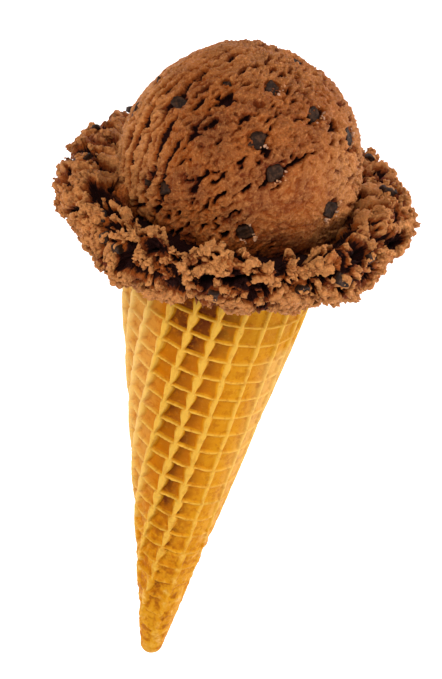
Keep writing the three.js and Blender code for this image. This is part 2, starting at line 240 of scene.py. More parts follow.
@dataclass(frozen=True)
class RestPose:
    """How the upright cone lies: the slope of its axis, and where the mouth's middle comes to be."""

    tilt: float = math.radians(17.2)
    mouth: tuple[float, float, float] = (-1.713, 27.381, 35.238)

    def turn(self, vectors: np.ndarray) -> np.ndarray:
        """Turns directions about X by the tilt less 90 degrees.

        Args:
            vectors: Upright directions.

        Returns:
            The same directions in the frame.
        """
        s, c = math.sin(self.tilt), math.cos(self.tilt)
        x, y, z = vectors[..., 0], vectors[..., 1], vectors[..., 2]
        return np.stack((x, y * s + z * c, -y * c + z * s), -1)

    def place(self, points: np.ndarray) -> np.ndarray:
        """Lays points down: turned, moved and scaled. What would be under the floor is pressed flat on it.

        Args:
            points: Upright points, in millimetres.

        Returns:
            Points of the frame, in metres.
        """
        laid = (self.turn(points) + np.array(self.mouth)) * MM
        laid[..., 2] = np.maximum(laid[..., 2], 0.0)
        return laid

    def height(self, points: np.ndarray) -> np.ndarray:
        """Height over the floor of upright points, in millimetres."""
        return self.turn(points)[..., 2] + self.mouth[2]


POSE = RestPose()


# ---------- meshes ----------


class Ends(Enum):
    """How a grid of points closes along its rows."""

    JOINED = "the last row meets the first"
    POLES = "a point closes each end"


@dataclass
class Surface:
    """A closed surface: upright points, faces, and numbers carried by each point."""

    points: np.ndarray
    faces: np.ndarray
    marks: dict[str, np.ndarray] = field(default_factory=dict)

    def triangles(self) -> int:
        """How many triangles the faces make."""
        return int(((self.faces >= 0).sum(1) - 2).sum())

    def face_outward(self) -> None:
        """Turns the faces round if they enclose a negative volume."""
        a, b, c = (self.points[self.faces[:, n]] for n in range(3))
        volume = np.einsum("ij,ij->i", a, np.cross(b, c)).sum()
        quads = self.faces[:, 3] >= 0
        d = self.points[self.faces[quads, 3]]
        volume += np.einsum("ij,ij->i", a[quads], np.cross(c[quads], d)).sum()
        if volume < 0:
            self.faces = self.faces.copy()
            self.faces[:, [0, 2]] = self.faces[:, [2, 0]]


def grid_faces(rows: int, columns: int, ends: Ends) -> np.ndarray:
    """Faces over a grid of points whose columns go once round.

    Args:
        rows: Number of rows of points.
        columns: Number of points in a row.
        ends: How the first and last rows close. With poles, two more points follow the grid.

    Returns:
        Four point numbers a face; a triangle has -1 for its fourth.
    """
    upper = rows if ends is Ends.JOINED else rows - 1
    row, column = np.meshgrid(np.arange(upper), np.arange(columns), indexing="ij")
    beside, above = (column + 1) % columns, (row + 1) % rows
    corners = (row * columns + column, row * columns + beside, above * columns + beside)
    faces = np.stack((*corners, above * columns + column), -1).reshape(-1, 4)
    if ends is Ends.POLES:
        ring = np.arange(columns)
        after = (ring + 1) % columns
        last = (rows - 1) * columns
        none = np.full(columns, -1)
        low = np.stack((after, ring, np.full(columns, rows * columns), none), -1)
        high = np.stack((last + ring, last + after, np.full(columns, rows * columns + 1), none), -1)
        faces = np.concatenate((faces, low, high))
    return faces


def join(surfaces: list[Surface]) -> Surface:
    """Puts several surfaces together, with their faces renumbered.

    Args:
        surfaces: The surfaces, which carry the same marks.

    Returns:
        One surface.
    """
    starts = np.concatenate(([0], np.cumsum([len(s.points) for s in surfaces])[:-1]))
    faces = [np.where(s.faces >= 0, s.faces + start, -1) for s, start in zip(surfaces, starts)]
    marks = {k: np.concatenate([s.marks[k] for s in surfaces]) for k in surfaces[0].marks}
    return Surface(np.concatenate([s.points for s in surfaces]), np.concatenate(faces), marks)


def make_piece(name: str, surface: Surface, look: bpy.types.Material, node: str) -> None:
    """Makes a smooth-shaded object of a surface, laid down in the frame, that rides on the root body.

    Args:
        name: The piece's name.
        surface: Its shape, upright, in millimetres.
        look: Its material.
        node: The solid that it stands for.
    """
    surface.face_outward()
    mesh = bpy.data.meshes.new(name)
    sides = np.where(surface.faces[:, 3] < 0, 3, 4)
    starts = np.concatenate(([0], np.cumsum(sides)[:-1]))
    loops = surface.faces[surface.faces >= 0]
    mesh.vertices.add(len(surface.points))
    mesh.vertices.foreach_set("co", POSE.place(surface.points).astype(np.float32).ravel())
    mesh.loops.add(len(loops))
    mesh.loops.foreach_set("vertex_index", loops.astype(np.int32))
    mesh.polygons.add(len(sides))
    mesh.polygons.foreach_set("loop_start", starts.astype(np.int32))
    mesh.update(calc_edges=True)
    mesh.validate()
    mesh.polygons.foreach_set("use_smooth", np.ones(len(sides), bool))
    for mark, values in surface.marks.items():
        layer = mesh.attributes.new(mark, "FLOAT", "POINT")
        layer.data.foreach_set("value", values.astype(np.float32).ravel())
    mesh.materials.append(look)
    piece = bpy.data.objects.new(name, mesh)
    bpy.context.scene.collection.objects.link(piece)
    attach(piece, "root")
    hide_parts(node)
    LOG.info("%s: %d triangles", name, surface.triangles())


# ---------- materials ----------


def srgb(red: int, green: int, blue: int) -> tuple[float, float, float, float]:
    """A colour given by its screen values, as the linear numbers that shaders use.

    Args:
        red: Red, from 0 to 255.
        green: Green.
        blue: Blue.

    Returns:
        Linear red, green and blue, and 1 for opaque.
    """
    parts = (v / 255 for v in (red, green, blue))
    linear = [v / 12.92 if v <= 0.04045 else ((v + 0.055) / 1.055) ** 2.4 for v in parts]
    return (*linear, 1.0)


class Num:
    """A number that varies over a surface: a socket, with arithmetic that adds Math nodes."""

    def __init__(self, sheet: ShaderSheet, socket: bpy.types.NodeSocket) -> None:
        """Wraps a socket of a material's nodes."""
        self.sheet = sheet
        self.socket = socket

    def _with(self, operation: str, *others: Num | float) -> Num:
        """Adds a Math node on this number and others.

        Args:
            operation: What the node works out.
            others: The numbers that follow this one in it.

        Returns:
            The node's result.
        """
        values = {n: o for n, o in enumerate((self, *others))}
        node = self.sheet.node("ShaderNodeMath", {"operation": operation}, values)
        return Num(self.sheet, node.outputs[0])

    def __add__(self, other: Num | float) -> Num:
        """This number plus another."""
        return self._with("ADD", other)

    __radd__ = __add__

    def __sub__(self, other: Num | float) -> Num:
        """This number less another."""
        return self._with("SUBTRACT", other)

    def __rsub__(self, other: float) -> Num:
        """A plain number less this one."""
        return -self + other

    def __neg__(self) -> Num:
        """This number with its sign changed."""
        return self * -1.0

    def __mul__(self, other: Num | float) -> Num:
        """This number times another."""
        return self._with("MULTIPLY", other)

    __rmul__ = __mul__

    def step(self, low: float, high: float) -> Num:
        """A smooth step from 0 at low to 1 at high."""
        node = self.sheet.node(
            "ShaderNodeMapRange",
            {"interpolation_type": "SMOOTHSTEP"},
            {"Value": self, "From Min": low, "From Max": high},
        )
        return Num(self.sheet, node.outputs["Result"])


@dataclass(frozen=True)
class Specks:
    """A noise in a material: its features' size in millimetres, how many finer copies it has and how
    strong they are, how far it is swirled, and the values between which it steps from 0 to 1."""

    size: float
    detail: float = 2.0
    rough: float = 0.5
    swirl: float = 0.0
    step: tuple[float, float] | None = None


class ShaderSheet:
    """A material's nodes, with one Principled shader that the methods dress."""

    def __init__(self, name: str) -> None:
        """Starts a material.

        Args:
            name: The material's name.
        """
        self.material = bpy.data.materials.new(name)
        self.material.use_nodes = True
        self.tree = self.material.node_tree
        self.shader = self.tree.nodes["Principled BSDF"]
        self.place = self.node("ShaderNodeTexCoord").outputs["Object"]

    def node(self, kind: str, settings: dict | None = None, values: dict | None = None) -> bpy.types.Node:
        """Adds a node.

        Args:
            kind: The node's type.
            settings: Its own properties, set first.
            values: Numbers, colours, links or Num objects for its sockets, by name or number.

        Returns:
            The node.
        """
        made = self.tree.nodes.new(kind)
        for key, value in (settings or {}).items():
            setattr(made, key, value)
        for key, value in (values or {}).items():
            if isinstance(value, Num):
                value = value.socket
            if isinstance(value, bpy.types.NodeSocket):
                self.tree.links.new(value, made.inputs[key])
            else:
                made.inputs[key].default_value = value
        return made

    def mark(self, name: str) -> Num:
        """A number that the mesh carries at each point."""
        node = self.node("ShaderNodeAttribute", {"attribute_type": "GEOMETRY", "attribute_name": name})
        return Num(self, node.outputs["Fac"])

    def noise(self, specks: Specks) -> Num:
        """Noise from 0 to 1, stepped where the specks say so.

        Args:
            specks: The noise's size, detail and step.

        Returns:
            The noise.
        """
        values = {"Vector": self.place, "Scale": 1 / (specks.size * MM), "Detail": specks.detail}
        values |= {"Roughness": specks.rough, "Distortion": specks.swirl}
        noise = Num(self, self.node("ShaderNodeTexNoise", {}, values).outputs["Fac"])
        return noise.step(*specks.step) if specks.step else noise

    def mix(self, share: Num, first: object, second: object) -> bpy.types.NodeSocket:
        """A colour between two others, by a share."""
        node = self.node("ShaderNodeMix", {"data_type": "RGBA"}, {0: share, 6: first, 7: second})
        return node.outputs[2]

    def constants(self, **values: object) -> None:
        """Sets the shader's own sockets; an underscore in a name stands for a space."""
        for name, value in values.items():
            self.shader.inputs[name.replace("_", " ")].default_value = value

    def feed(self, socket: str, source: Num | bpy.types.NodeSocket) -> None:
        """Links something that varies over the surface to one of the shader's sockets."""
        link = source.socket if isinstance(source, Num) else source
        self.tree.links.new(link, self.shader.inputs[socket])

    def bump(self, height: Num, depth: float) -> None:
        """Bends the surface's light by a height from 0 to 1, over a depth in millimetres."""
        values = {"Height": height, "Distance": depth * MM, "Strength": 1.0}
        self.feed("Normal", self.node("ShaderNodeBump", {}, values).outputs["Normal"])


@dataclass(frozen=True)
class IceCreamLook:
    """Chocolate ice cream: brown on its face, pale tan where it crumbles and stands out, which is partly
    painted light, and near black in its hollows, which is painted shade.
    """

    face: tuple[float, ...] = srgb(152, 72, 14)
    tan: tuple[float, ...] = srgb(108, 38, 0)
    pale_and_lit: tuple[float, ...] = srgb(226, 152, 86)
    frost: tuple[float, ...] = srgb(212, 160, 128)
    # near black of the painted shade in hollows, cuts and gaps
    hollow: tuple[float, ...] = srgb(34, 4, 0)
    uneven: Specks = Specks(1.0, 3.0, 0.6)
    clouds: Specks = Specks(7.0, 3.0, step=(0.35, 0.7))
    pale_specks: Specks = Specks(0.7, 3.0, 0.6, step=(0.48, 0.72))
    dark_specks: Specks = Specks(0.9, 3.0, 0.6, 0.4, (0.55, 0.72))
    dull_specks: Specks = Specks(0.9)
    grains: Specks = Specks(0.85, 4.0, 0.65)
    fine_grains: Specks = Specks(0.4)
    grain_depth: float = 1.1

    def make(self) -> bpy.types.Material:
        """Builds the material, in which the tone mark goes from under -1 in the deepest hollows, painted
        near black as shade, to about 1 on crumbs, painted pale as light, and over 2 on frost.

        Returns:
            The material.
        """
        sheet = ShaderSheet("chocolate_ice_cream")
        painted_light_and_tone = sheet.mark("painted_light_and_tone") + sheet.noise(self.uneven) * 0.5 - 0.25
        colour = sheet.mix(sheet.noise(self.clouds), self.face, self.tan)
        pale_share = sheet.noise(self.pale_specks) * (0.15 + 0.6 * painted_light_and_tone.step(0.0, 0.8))
        colour = sheet.mix(pale_share, colour, self.pale_and_lit)
        colour = sheet.mix(sheet.noise(self.dark_specks) * 0.6, colour, self.tan)
        # painted light: paler on crumbs, on what stands out and at the rims, as the tone mark says
        colour = sheet.mix(painted_light_and_tone.step(0.0, 1.0) * 0.7, colour, self.pale_and_lit)
        colour = sheet.mix(painted_light_and_tone.step(1.9, 2.6), colour, self.frost)
        # painted shade: near black in hollows, cuts and gaps, as the tone mark says
        painted_shade = (-painted_light_and_tone).step(0.05, 0.7)
        sheet.feed("Base Color", sheet.mix(painted_shade, colour, self.hollow))
        sheet.feed("Roughness", 0.42 + 0.3 * sheet.noise(self.dull_specks) + 0.4 * painted_shade)
        sheet.bump(sheet.noise(self.grains) + 0.5 * sheet.noise(self.fine_grains), self.grain_depth)
        sheet.constants(Subsurface_Weight=0.04, Subsurface_Radius=(1.0, 0.4, 0.2), Subsurface_Scale=0.001)
        sheet.constants(Specular_IOR_Level=0.15)
        return sheet.material


@dataclass(frozen=True)
class ChocolateLook:
    """Dark chocolate pieces with a dull bloom on their broken faces."""

    dark: tuple[float, ...] = srgb(34, 18, 8)
    bloom: tuple[float, ...] = srgb(74, 46, 28)
    bloom_specks: Specks = Specks(1.1, 4.0, 0.65, step=(0.42, 0.72))
    dull_specks: Specks = Specks(0.8)
    grains: Specks = Specks(0.5, 3.0, 0.6)
    grain_depth: float = 0.18

    def make(self) -> bpy.types.Material:
        """Builds the material.

        Returns:
            The material.
        """
        sheet = ShaderSheet("dark_chocolate")
        sheet.feed("Base Color", sheet.mix(sheet.noise(self.bloom_specks), self.dark, self.bloom))
        sheet.feed("Roughness", 0.45 + 0.3 * sheet.noise(self.dull_specks))
        sheet.bump(sheet.noise(self.grains), self.grain_depth)
        sheet.constants(Specular_IOR_Level=0.12)
        return sheet.material


@dataclass(frozen=True)
class WaferLook:
    """Baked wafer: pale golden ribs, deeper gold walls, and toasted floors in the pockets, darker partly as
    painted shade, and paler at the sides as painted light.
    """

    rib: tuple[float, ...] = srgb(212, 162, 62)
    # colour of floors painted as lit at the sides
    lit_sand: tuple[float, ...] = srgb(206, 150, 60)
    gold: tuple[float, ...] = srgb(200, 136, 18)
    floor: tuple[float, ...] = srgb(180, 104, 2)
    toast_and_shade: tuple[float, ...] = srgb(82, 26, 0)
    freckle: tuple[float, ...] = srgb(166, 92, 2)
    pale_and_lit: tuple[float, ...] = srgb(232, 196, 136)
    uneven: Specks = Specks(2.4, 3.0)
    patches: Specks = Specks(5.0, 3.0, step=(0.38, 0.62))
    freckles: Specks = Specks(1.8, 4.0, 0.65, 0.3, (0.48, 0.66))
    pale_specks: Specks = Specks(1.1, 3.0, 0.6, step=(0.55, 0.7))
    dull_specks: Specks = Specks(1.6)
    grains: Specks = Specks(0.6, 4.0, 0.6)
    wide_grains: Specks = Specks(1.8)
    grain_depth: float = 0.14

    def make(self) -> bpy.types.Material:
        """Builds the material. The mark "relief" is 0 on a pocket's floor and 1 on a rib's top, and the
        toast mark says how darkly the pocket is baked and painted with shade, or how pale it is painted as
        lit if under 0.

        Returns:
            The material.
        """
        sheet = ShaderSheet("baked_wafer")
        relief, toast_and_shade = sheet.mark("relief"), sheet.mark("toast_and_shade")
        painted_side_light = -toast_and_shade
        # painted shade: floors darkened by the toast mark, which is partly real baking
        low = sheet.mix(toast_and_shade + sheet.noise(self.uneven) * 0.4 - 0.2, self.floor, self.toast_and_shade)
        # painted light: paler floors and walls at the sides
        low = sheet.mix(painted_side_light.step(-0.05, 0.35) * 0.5, low, self.lit_sand)
        middle = sheet.mix(sheet.noise(self.patches) * 0.35, self.gold, self.floor)
        middle = sheet.mix(painted_side_light.step(-0.05, 0.4) * 0.5, middle, self.lit_sand)
        # floors darker than the ribs: partly baked colour, partly painted shade in the pockets
        colour = sheet.mix(relief.step(0.02, 0.3), low, middle)
        colour = sheet.mix(relief.step(0.32, 0.75) * 0.95, colour, self.rib)
        colour = sheet.mix(sheet.noise(self.freckles) * (0.75 - 0.5 * relief), colour, self.freckle)
        colour = sheet.mix(sheet.noise(self.pale_specks) * (0.1 + 0.3 * relief), colour, self.rib)
        # painted light: paler at the sides
        colour = sheet.mix(painted_side_light.step(0.0, 0.45) * (0.08 + 0.32 * relief), colour, self.pale_and_lit)
        sheet.feed("Base Color", colour)
        sheet.feed("Roughness", 0.45 + 0.25 * sheet.noise(self.dull_specks))
        sheet.bump(sheet.noise(self.grains) + 0.8 * sheet.noise(self.wide_grains), self.grain_depth)
        sheet.constants(Subsurface_Weight=0.1, Subsurface_Radius=(1.0, 0.5, 0.15))
        sheet.constants(Subsurface_Scale=0.0012, Specular_IOR_Level=0.06)
        return sheet.material


# ---------- the chocolate pieces ----------


@dataclass(frozen=True)
class ChipPlace:
    """Where a chocolate piece lies, and its length and width, in degrees and millimetres.

    The rise is a latitude on the ball, or an angle round the collar's section. The length is level
    where the spin is 0.
    """

    bearing: float
    rise: float
    length: float
    width: float
    spin: float

    @property
    def reach(self) -> float:
        """Half of the mean of its length and width."""
        return (self.length + self.width) / 4


@dataclass
class Chips:
    """Broken squares of chocolate: rounded boxes with every corner knocked unevenly.

    Their roughness is a noise's size and height. They are sunk by a share of their thickness.
    """

    columns: int = 20
    rows: int = 13
    squareness: float = 0.36
    thickness: float = 1.6
    stretch: float = 1.12
    largest_corner: float = 1.15
    corner_spread: float = 0.55
    roughness: tuple[float, float] = (1.2, 0.4)
    sunk: float = 0.55
    slope: float = 0.2
    surfaces: list[Surface] = field(default_factory=list)

    def add(self, point: np.ndarray, away: np.ndarray, place: ChipPlace, seed: int) -> None:
        """Adds a piece, sunk in a face: a ball's point with each part's power taken, which makes a
        rounded box, scaled, sheared by its corners' random knocks, and turned to lie along the face
        with a small random slope.

        Args:
            point: Where it lies, upright.
            away: The face's outward direction there.
            place: Its sizes and spin.
            seed: Chooses its shape.
        """
        rng = np.random.default_rng(seed)
        ball = ball_grid(self.rows, self.columns)
        box = np.sign(ball) * np.abs(ball) ** self.squareness
        size = np.array((self.stretch * place.length, self.stretch * place.width, self.thickness)) / 2
        knock = self.largest_corner - self.corner_spread * rng.random((2, 2, 2, 2))
        along_box = np.clip((box + 1) / 2, 0, 1)
        scales = [corner_share(along_box, corner)[:, None] * knock[corner] for corner in CORNERS]
        box[:, :2] *= sum(scales)
        local = Noise(*self.roughness, seed * 7).warp(box * size)
        along = unit(np.cross((0.0, 0.0, 1.0), away))
        away = away + self.slope * (rng.uniform(-1, 1) * along + rng.uniform(-1, 1) * np.cross(away, along))
        away = unit(away)
        along = unit(along - away * (along @ away))
        side = np.cross(away, along)
        s, c = math.sin(math.radians(place.spin)), math.cos(math.radians(place.spin))
        axes = np.stack((c * along + s * side, c * side - s * along, away))
        middle = point - away * (self.sunk * self.thickness)
        faces = grid_faces(self.rows, self.columns, Ends.POLES)
        self.surfaces.append(Surface(middle + local @ axes, faces))


BALL_CHIPS = (
    ChipPlace(-45, 35, 4.9, 3.1, -8),
    ChipPlace(-20, 51, 2.3, 2.1, 20),
    ChipPlace(15, 55, 3.4, 4.2, -25),
    ChipPlace(44, 41, 3.2, 3.8, 15),
    ChipPlace(6, 27, 3.4, 4.9, -12),
    ChipPlace(17, 13, 4.1, 3.6, 25),
    ChipPlace(70, 27, 3.4, 4.2, 10),
    ChipPlace(75, 72, 3.2, 2.8, 0),
    ChipPlace(-83, 17, 3.4, 5.6, 5),
    ChipPlace(-84, 36, 2.0, 1.8, 0),
    ChipPlace(53, -5, 4.9, 4.2, -20),
    ChipPlace(8, -18, 4.0, 3.6, 30),
    ChipPlace(-35, -6, 3.2, 2.9, 10),
    ChipPlace(-47, -7, 1.8, 2.0, 0),
)
COLLAR_CHIPS = (
    ChipPlace(-81, 64, 3.9, 4.0, 20),
    ChipPlace(-48, 30, 2.4, 2.5, 0),
    ChipPlace(-43, 0, 3.2, 3.0, 30),
    ChipPlace(-34, -2, 2.8, 2.1, 15),
    ChipPlace(0, -42, 2.4, 3.5, -10),
    ChipPlace(94, 72, 3.2, 3.6, 20),
    ChipPlace(122, 66, 3.0, 2.4, 0),
    ChipPlace(44, -10, 6.4, 3.0, -20),
    ChipPlace(57, 18, 3.0, 2.4, 15),
    ChipPlace(31, -30, 2.8, 2.6, 0),
)


def drawn_places(first: int, bearings: tuple[float, float], rises: tuple[float, float],
                 count: int = 10, seed: int = 77) -> tuple[ChipPlace, ...]:
    """Random chips over the back, the same draw as for the solids.

    Args:
        first: Number of the first draw.
        bearings: Lowest and highest bearing, in degrees.
        rises: Lowest and highest rise.
        count: How many chips.
        seed: Chooses the draw.

    Returns:
        The places.
    """
    ranges = np.array((bearings, rises, (2.6, 5), (2, 3.4), (-45, 45)))
    chip, number = np.indices((count, len(ranges)))
    cells = np.stack((chip + first, number, np.full_like(chip, 7)), -1)
    drawn = ranges[:, 0] + (ranges[:, 1] - ranges[:, 0]) * (lattice_bits(cells, seed) / WORD)
    return tuple(ChipPlace(*map(float, row)) for row in drawn)


# ---------- the ball ----------


@dataclass(frozen=True)
class Streaks:
    """Noise drawn out on a ball, whose features are wide across the circles round an axis and long
    along them, in millimetres."""

    width: float
    length: float
    height: float
    seed: int


@dataclass
class Ball:
    """The scoop: a ball dragged round an axis, so that it is torn along circles about that axis.

    It is smooth round a place that is given by its bearing, distance from the axis and height. The
    drag axes and the flat are given by directions from its middle.
    """

    centre: tuple[float, float, float] = (1.0, 0.0, 27.1)
    radius: float = 30.3
    drag: tuple[float, float, float] = (0.709, -0.344, -0.616)
    left_drag: tuple[float, float, float] = (0.651, -0.748, -0.132)
    smooth_at: tuple[float, float, float] = (math.radians(36), 1.0, -0.38)
    flat_at: tuple[float, float, float] = (0.3, 0.34, 0.89)
    flat_depth: float = 1.1
    lowest: float = math.radians(-52)
    rows: int = 224
    columns: int = 440
    ragged: tuple[Noise, ...] = (Noise(4.2, 0.8, 21), Noise(1.4, 0.5, 22))
    layers: Streaks = Streaks(7.5, 15.0, 2.6, 31)
    layer_height: float = 0.5
    gashes: tuple[Streaks, ...] = (Streaks(1.9, 7.0, 0.8, 41), Streaks(1.1, 2.6, 0.5, 43))
    gash_depth: float = 1.9
    lip_height: float = 0.35
    groove_pitch: float = 4.2
    groove_wave: Noise = Noise(9.0, 2.2, 44)
    grooves: Streaks = Streaks(3.0, 12.0, 0.75, 45)
    dashes: Streaks = Streaks(0.95, 2.2, 1.0, 51)
    roughness: Noise = Noise(1.1, 1.0, 42)
    patches: Noise = Noise(9.0, 0.2, 47)
    cobbles: float = 3.0
    pit_depth: float = 1.0
    pit_edge: Noise = Noise(1.1, 0.35, 81)
    chips: tuple[ChipPlace, ...] = BALL_CHIPS + drawn_places(50, (105, 262), (-22, 75))

    def directions(self) -> np.ndarray:
        """Directions from the ball's middle, closer together at the front.

        Returns:
            Rows of latitude up to the top, and then the two poles, of which the lower is inside.
        """
        latitude = self.lowest + (math.pi / 2 - self.lowest) * (np.arange(self.rows) + 0.5) / self.rows
        even = np.arange(self.columns) * TURN / self.columns - math.pi
        rise, bearing = np.meshgrid(latitude, dense_front(even), indexing="ij")
        grid = spot(bearing, np.cos(rise), np.sin(rise)).reshape(-1, 3)
        return np.concatenate((grid, [[0, 0, -0.3], [0, 0, 1.0]]))

    def wide_swells(self, on: np.ndarray) -> np.ndarray:
        """How the ball departs from a true one: two smooth noises and a flat, in millimetres."""
        flat = self.flat_depth * ramp(0.9, 1.0, on @ np.array(self.flat_at))
        return 0.5 * gradient_noise(on * 2.1, 71) + 0.3 * gradient_noise(on * 5, 72) - 0.3 - flat

    def torn(self, on: np.ndarray) -> np.ndarray:
        """How torn the face is: little round one place and round the end of the drag axis at the back,
        and fully some way from them.

        Args:
            on: Directions from the ball's middle.

        Returns:
            From 0.1 to 1 for each direction.
        """
        smooth = unit(spot(*(np.array(v) for v in self.smooth_at)))
        from_smooth = np.arccos(np.clip(on @ smooth, -1, 1))
        from_end = np.arccos(np.clip(on @ -np.array(self.drag), -1, 1))
        torn = ramp(math.radians(15), math.radians(55), from_smooth)
        return np.maximum(np.minimum(torn, ramp(math.radians(12), math.radians(45), from_end)), 0.1)

    def relief(self, on: np.ndarray) -> np.ndarray:
        """How far the torn face stands over the wide swells, in millimetres.

        Layers, as steps between the levels of a noise that is long round the drag axis; gashes and
        short dashes, where other such noises are low, with raised lips; lumps with creases between
        them and grain; and a pit round each chip. At the left, waving grooves stand for the gashes.

        Args:
            on: Directions from the ball's middle.

        Returns:
            One height for each direction.
        """
        place = on * self.radius
        ragged = sum(noise.over(place) for noise in self.ragged)

        def from_pole(axis: tuple[float, ...]) -> np.ndarray:
            """Distance along the face from an axis's pole, made ragged."""
            return np.arccos(np.clip(on @ unit(np.array(axis)), -1, 1)) * self.radius + ragged

        def drawn_out(axis: tuple[float, ...], streaks: Streaks) -> np.ndarray:
            """Noise in cells that are narrow across the circles round an axis, and long along them.

            Args:
                axis: The axis.
                streaks: The cells' sizes, the noise's height and its seed.

            Returns:
                The noise at each place.
            """
            pole = unit(np.array(axis))
            side = unit(np.cross(pole, (0.0, 0.0, 1.0)))
            along = (place @ side / streaks.length, place @ np.cross(pole, side) / streaks.length)
            cells = np.stack((from_pole(axis) / streaks.width, *along), -1)
            return streaks.height * gradient_noise(cells, streaks.seed)

        torn, rough = self.torn(on), self.roughness.over(place)
        layers = drawn_out(self.drag, self.layers)
        step = layers - np.floor(layers)
        shelf = self.layer_height * torn * (ramp(0.0, 0.14, step) - step)
        gash = sum(drawn_out(self.drag, streaks) for streaks in self.gashes)
        groove = from_pole(self.left_drag) * TURN / self.groove_pitch + self.groove_wave.over(place)
        groove = 0.45 * np.sin(groove) + drawn_out(self.left_drag, self.grooves)
        left = ramp(-0.42, -0.6, on[:, 0]) * ramp(0.45, 0.0, on[:, 1]) * ramp(-0.4, -0.1, on[:, 2])
        gash = blend(gash, groove - 0.08, left)
        gash = gash + 0.2 * rough + self.patches.over(place) + 0.5 * (1 - torn)
        dash = drawn_out(self.drag, self.dashes) + 0.15 * rough
        lip = ramp(-0.2, 0.0, gash) * ramp(0.4, 0.1, gash)
        cut = self.lip_height * torn * lip - self.gash_depth * ramp(-0.2, -0.52, gash)
        cut = cut - (0.1 + 0.4 * torn) * ramp(-0.18, -0.44, dash)
        cobble = grain(Noise(3.0, 0.5, 66).warp(place), self.cobbles, 3, 61, 0.75, creased=True)
        cobble = cobble + 0.3 * grain(place, 0.9, 2, 65)
        return shelf + cut + cobble * (0.5 + 0.24 * torn) + self.pits(on, place) - 0.3

    def pits(self, on: np.ndarray, place: np.ndarray) -> np.ndarray:
        """A ragged pit round each chip: full depth out to the chip's edge, gone a little beyond.

        Args:
            on: Directions from the ball's middle.
            place: The same, as long as the radius.

        Returns:
            The depths, as heights under 0.
        """
        depth = np.zeros(len(on))
        edge = self.pit_edge.over(place)
        for chip in self.chips:
            away = np.linalg.norm(on - self.chip_direction(chip), axis=-1) * self.radius
            near = ramp(chip.reach + 0.8, chip.reach + 0.1, away + edge)
            depth = np.minimum(depth, -self.pit_depth * near)
        return depth

    @staticmethod
    def chip_direction(chip: ChipPlace) -> np.ndarray:
        """The direction of a chip from the ball's middle."""
        bearing, rise = math.radians(chip.bearing), math.radians(chip.rise)
        return spot(np.array(bearing), np.array(math.cos(rise)), np.array(math.sin(rise)))

    def surface(self) -> Surface:
        """The ball's face: each direction from the middle, out to the radius, the wide swells and the
        relief. The two poles keep their own lengths. The tone carries painted light, paler on what stands
        out, where it is smooth and towards the sides and the top. It also carries painted shade, dark in
        the cuts, most so at the left, and low down beside the collar.

        Returns:
            The face, which carries its tone.
        """
        direction = self.directions()
        on = direction / np.linalg.norm(direction, axis=-1, keepdims=True)
        right, up = on[:, 0], on[:, 2]
        relief = self.relief(on)
        out = self.radius + self.wide_swells(on) + relief
        points = np.array(self.centre) + direction * out[:, None]
        faces = grid_faces(self.rows, self.columns, Ends.POLES)
        # painted shade in the cuts and low down beside the collar
        painted_shade = np.maximum(ramp(-0.35, -1.3, relief), ramp(-0.36, -0.54, up))
        # painted rim light: paler towards the left, the right and the top
        rim = 0.4 * ramp(-0.45, -0.9, right) + 0.3 * ramp(0.5, 0.9, right) + 0.2 * ramp(0.7, 0.95, up)
        painted_light_and_tone = 0.32 * ramp(-0.2, 0.3, relief) - 0.25 * ramp(0.0, -0.5, relief) + 0.15 * (1 - self.torn(on))
        painted_light_and_tone = painted_light_and_tone + rim - (0.7 + 0.4 * ramp(-0.3, -0.6, right)) * painted_shade
        return Surface(points, faces, {"painted_light_and_tone": painted_light_and_tone})

    def beside_chips(self, count: int = 60) -> tuple[np.ndarray, np.ndarray]:
        """Places on the face at the lower right of some chips.

        Args:
            count: How many places beside each of them.

        Returns:
            The places, and the outward directions there.
        """
        rng = np.random.default_rng(83)
        points, outs = [], []
        for number in (2, 3, 4, 5, 6, 10, 11):
            chip, away = self.chips[number], self.chip_direction(self.chips[number])
            along = unit(np.cross((0.0, 0.0, 1.0), away))
            turn = rng.normal(math.radians(-40), 0.8, count)
            reach = (chip.reach + rng.uniform(-0.1, 1.3, count))[:, None]
            side = np.cos(turn)[:, None] * along + np.sin(turn)[:, None] * np.cross(away, along)
            on = away * self.radius + side * reach
            outs.append(on / np.linalg.norm(on, axis=-1, keepdims=True))
            points.append(np.array(self.centre) + outs[-1] * (self.radius - 0.15))
        return np.concatenate(points), np.concatenate(outs)

    def add_chips(self, chips: Chips) -> None:
        """Lays the ball's chips on it.

        Args:
            chips: What they are added to.
        """
        for number, place in enumerate(self.chips):
            away = self.chip_direction(place)
            out = self.radius + self.wide_swells(away[None])[0] - 0.1
            chips.add(np.array(self.centre) + away * out, away, place, 100 + number)


# ---------- the collar ----------


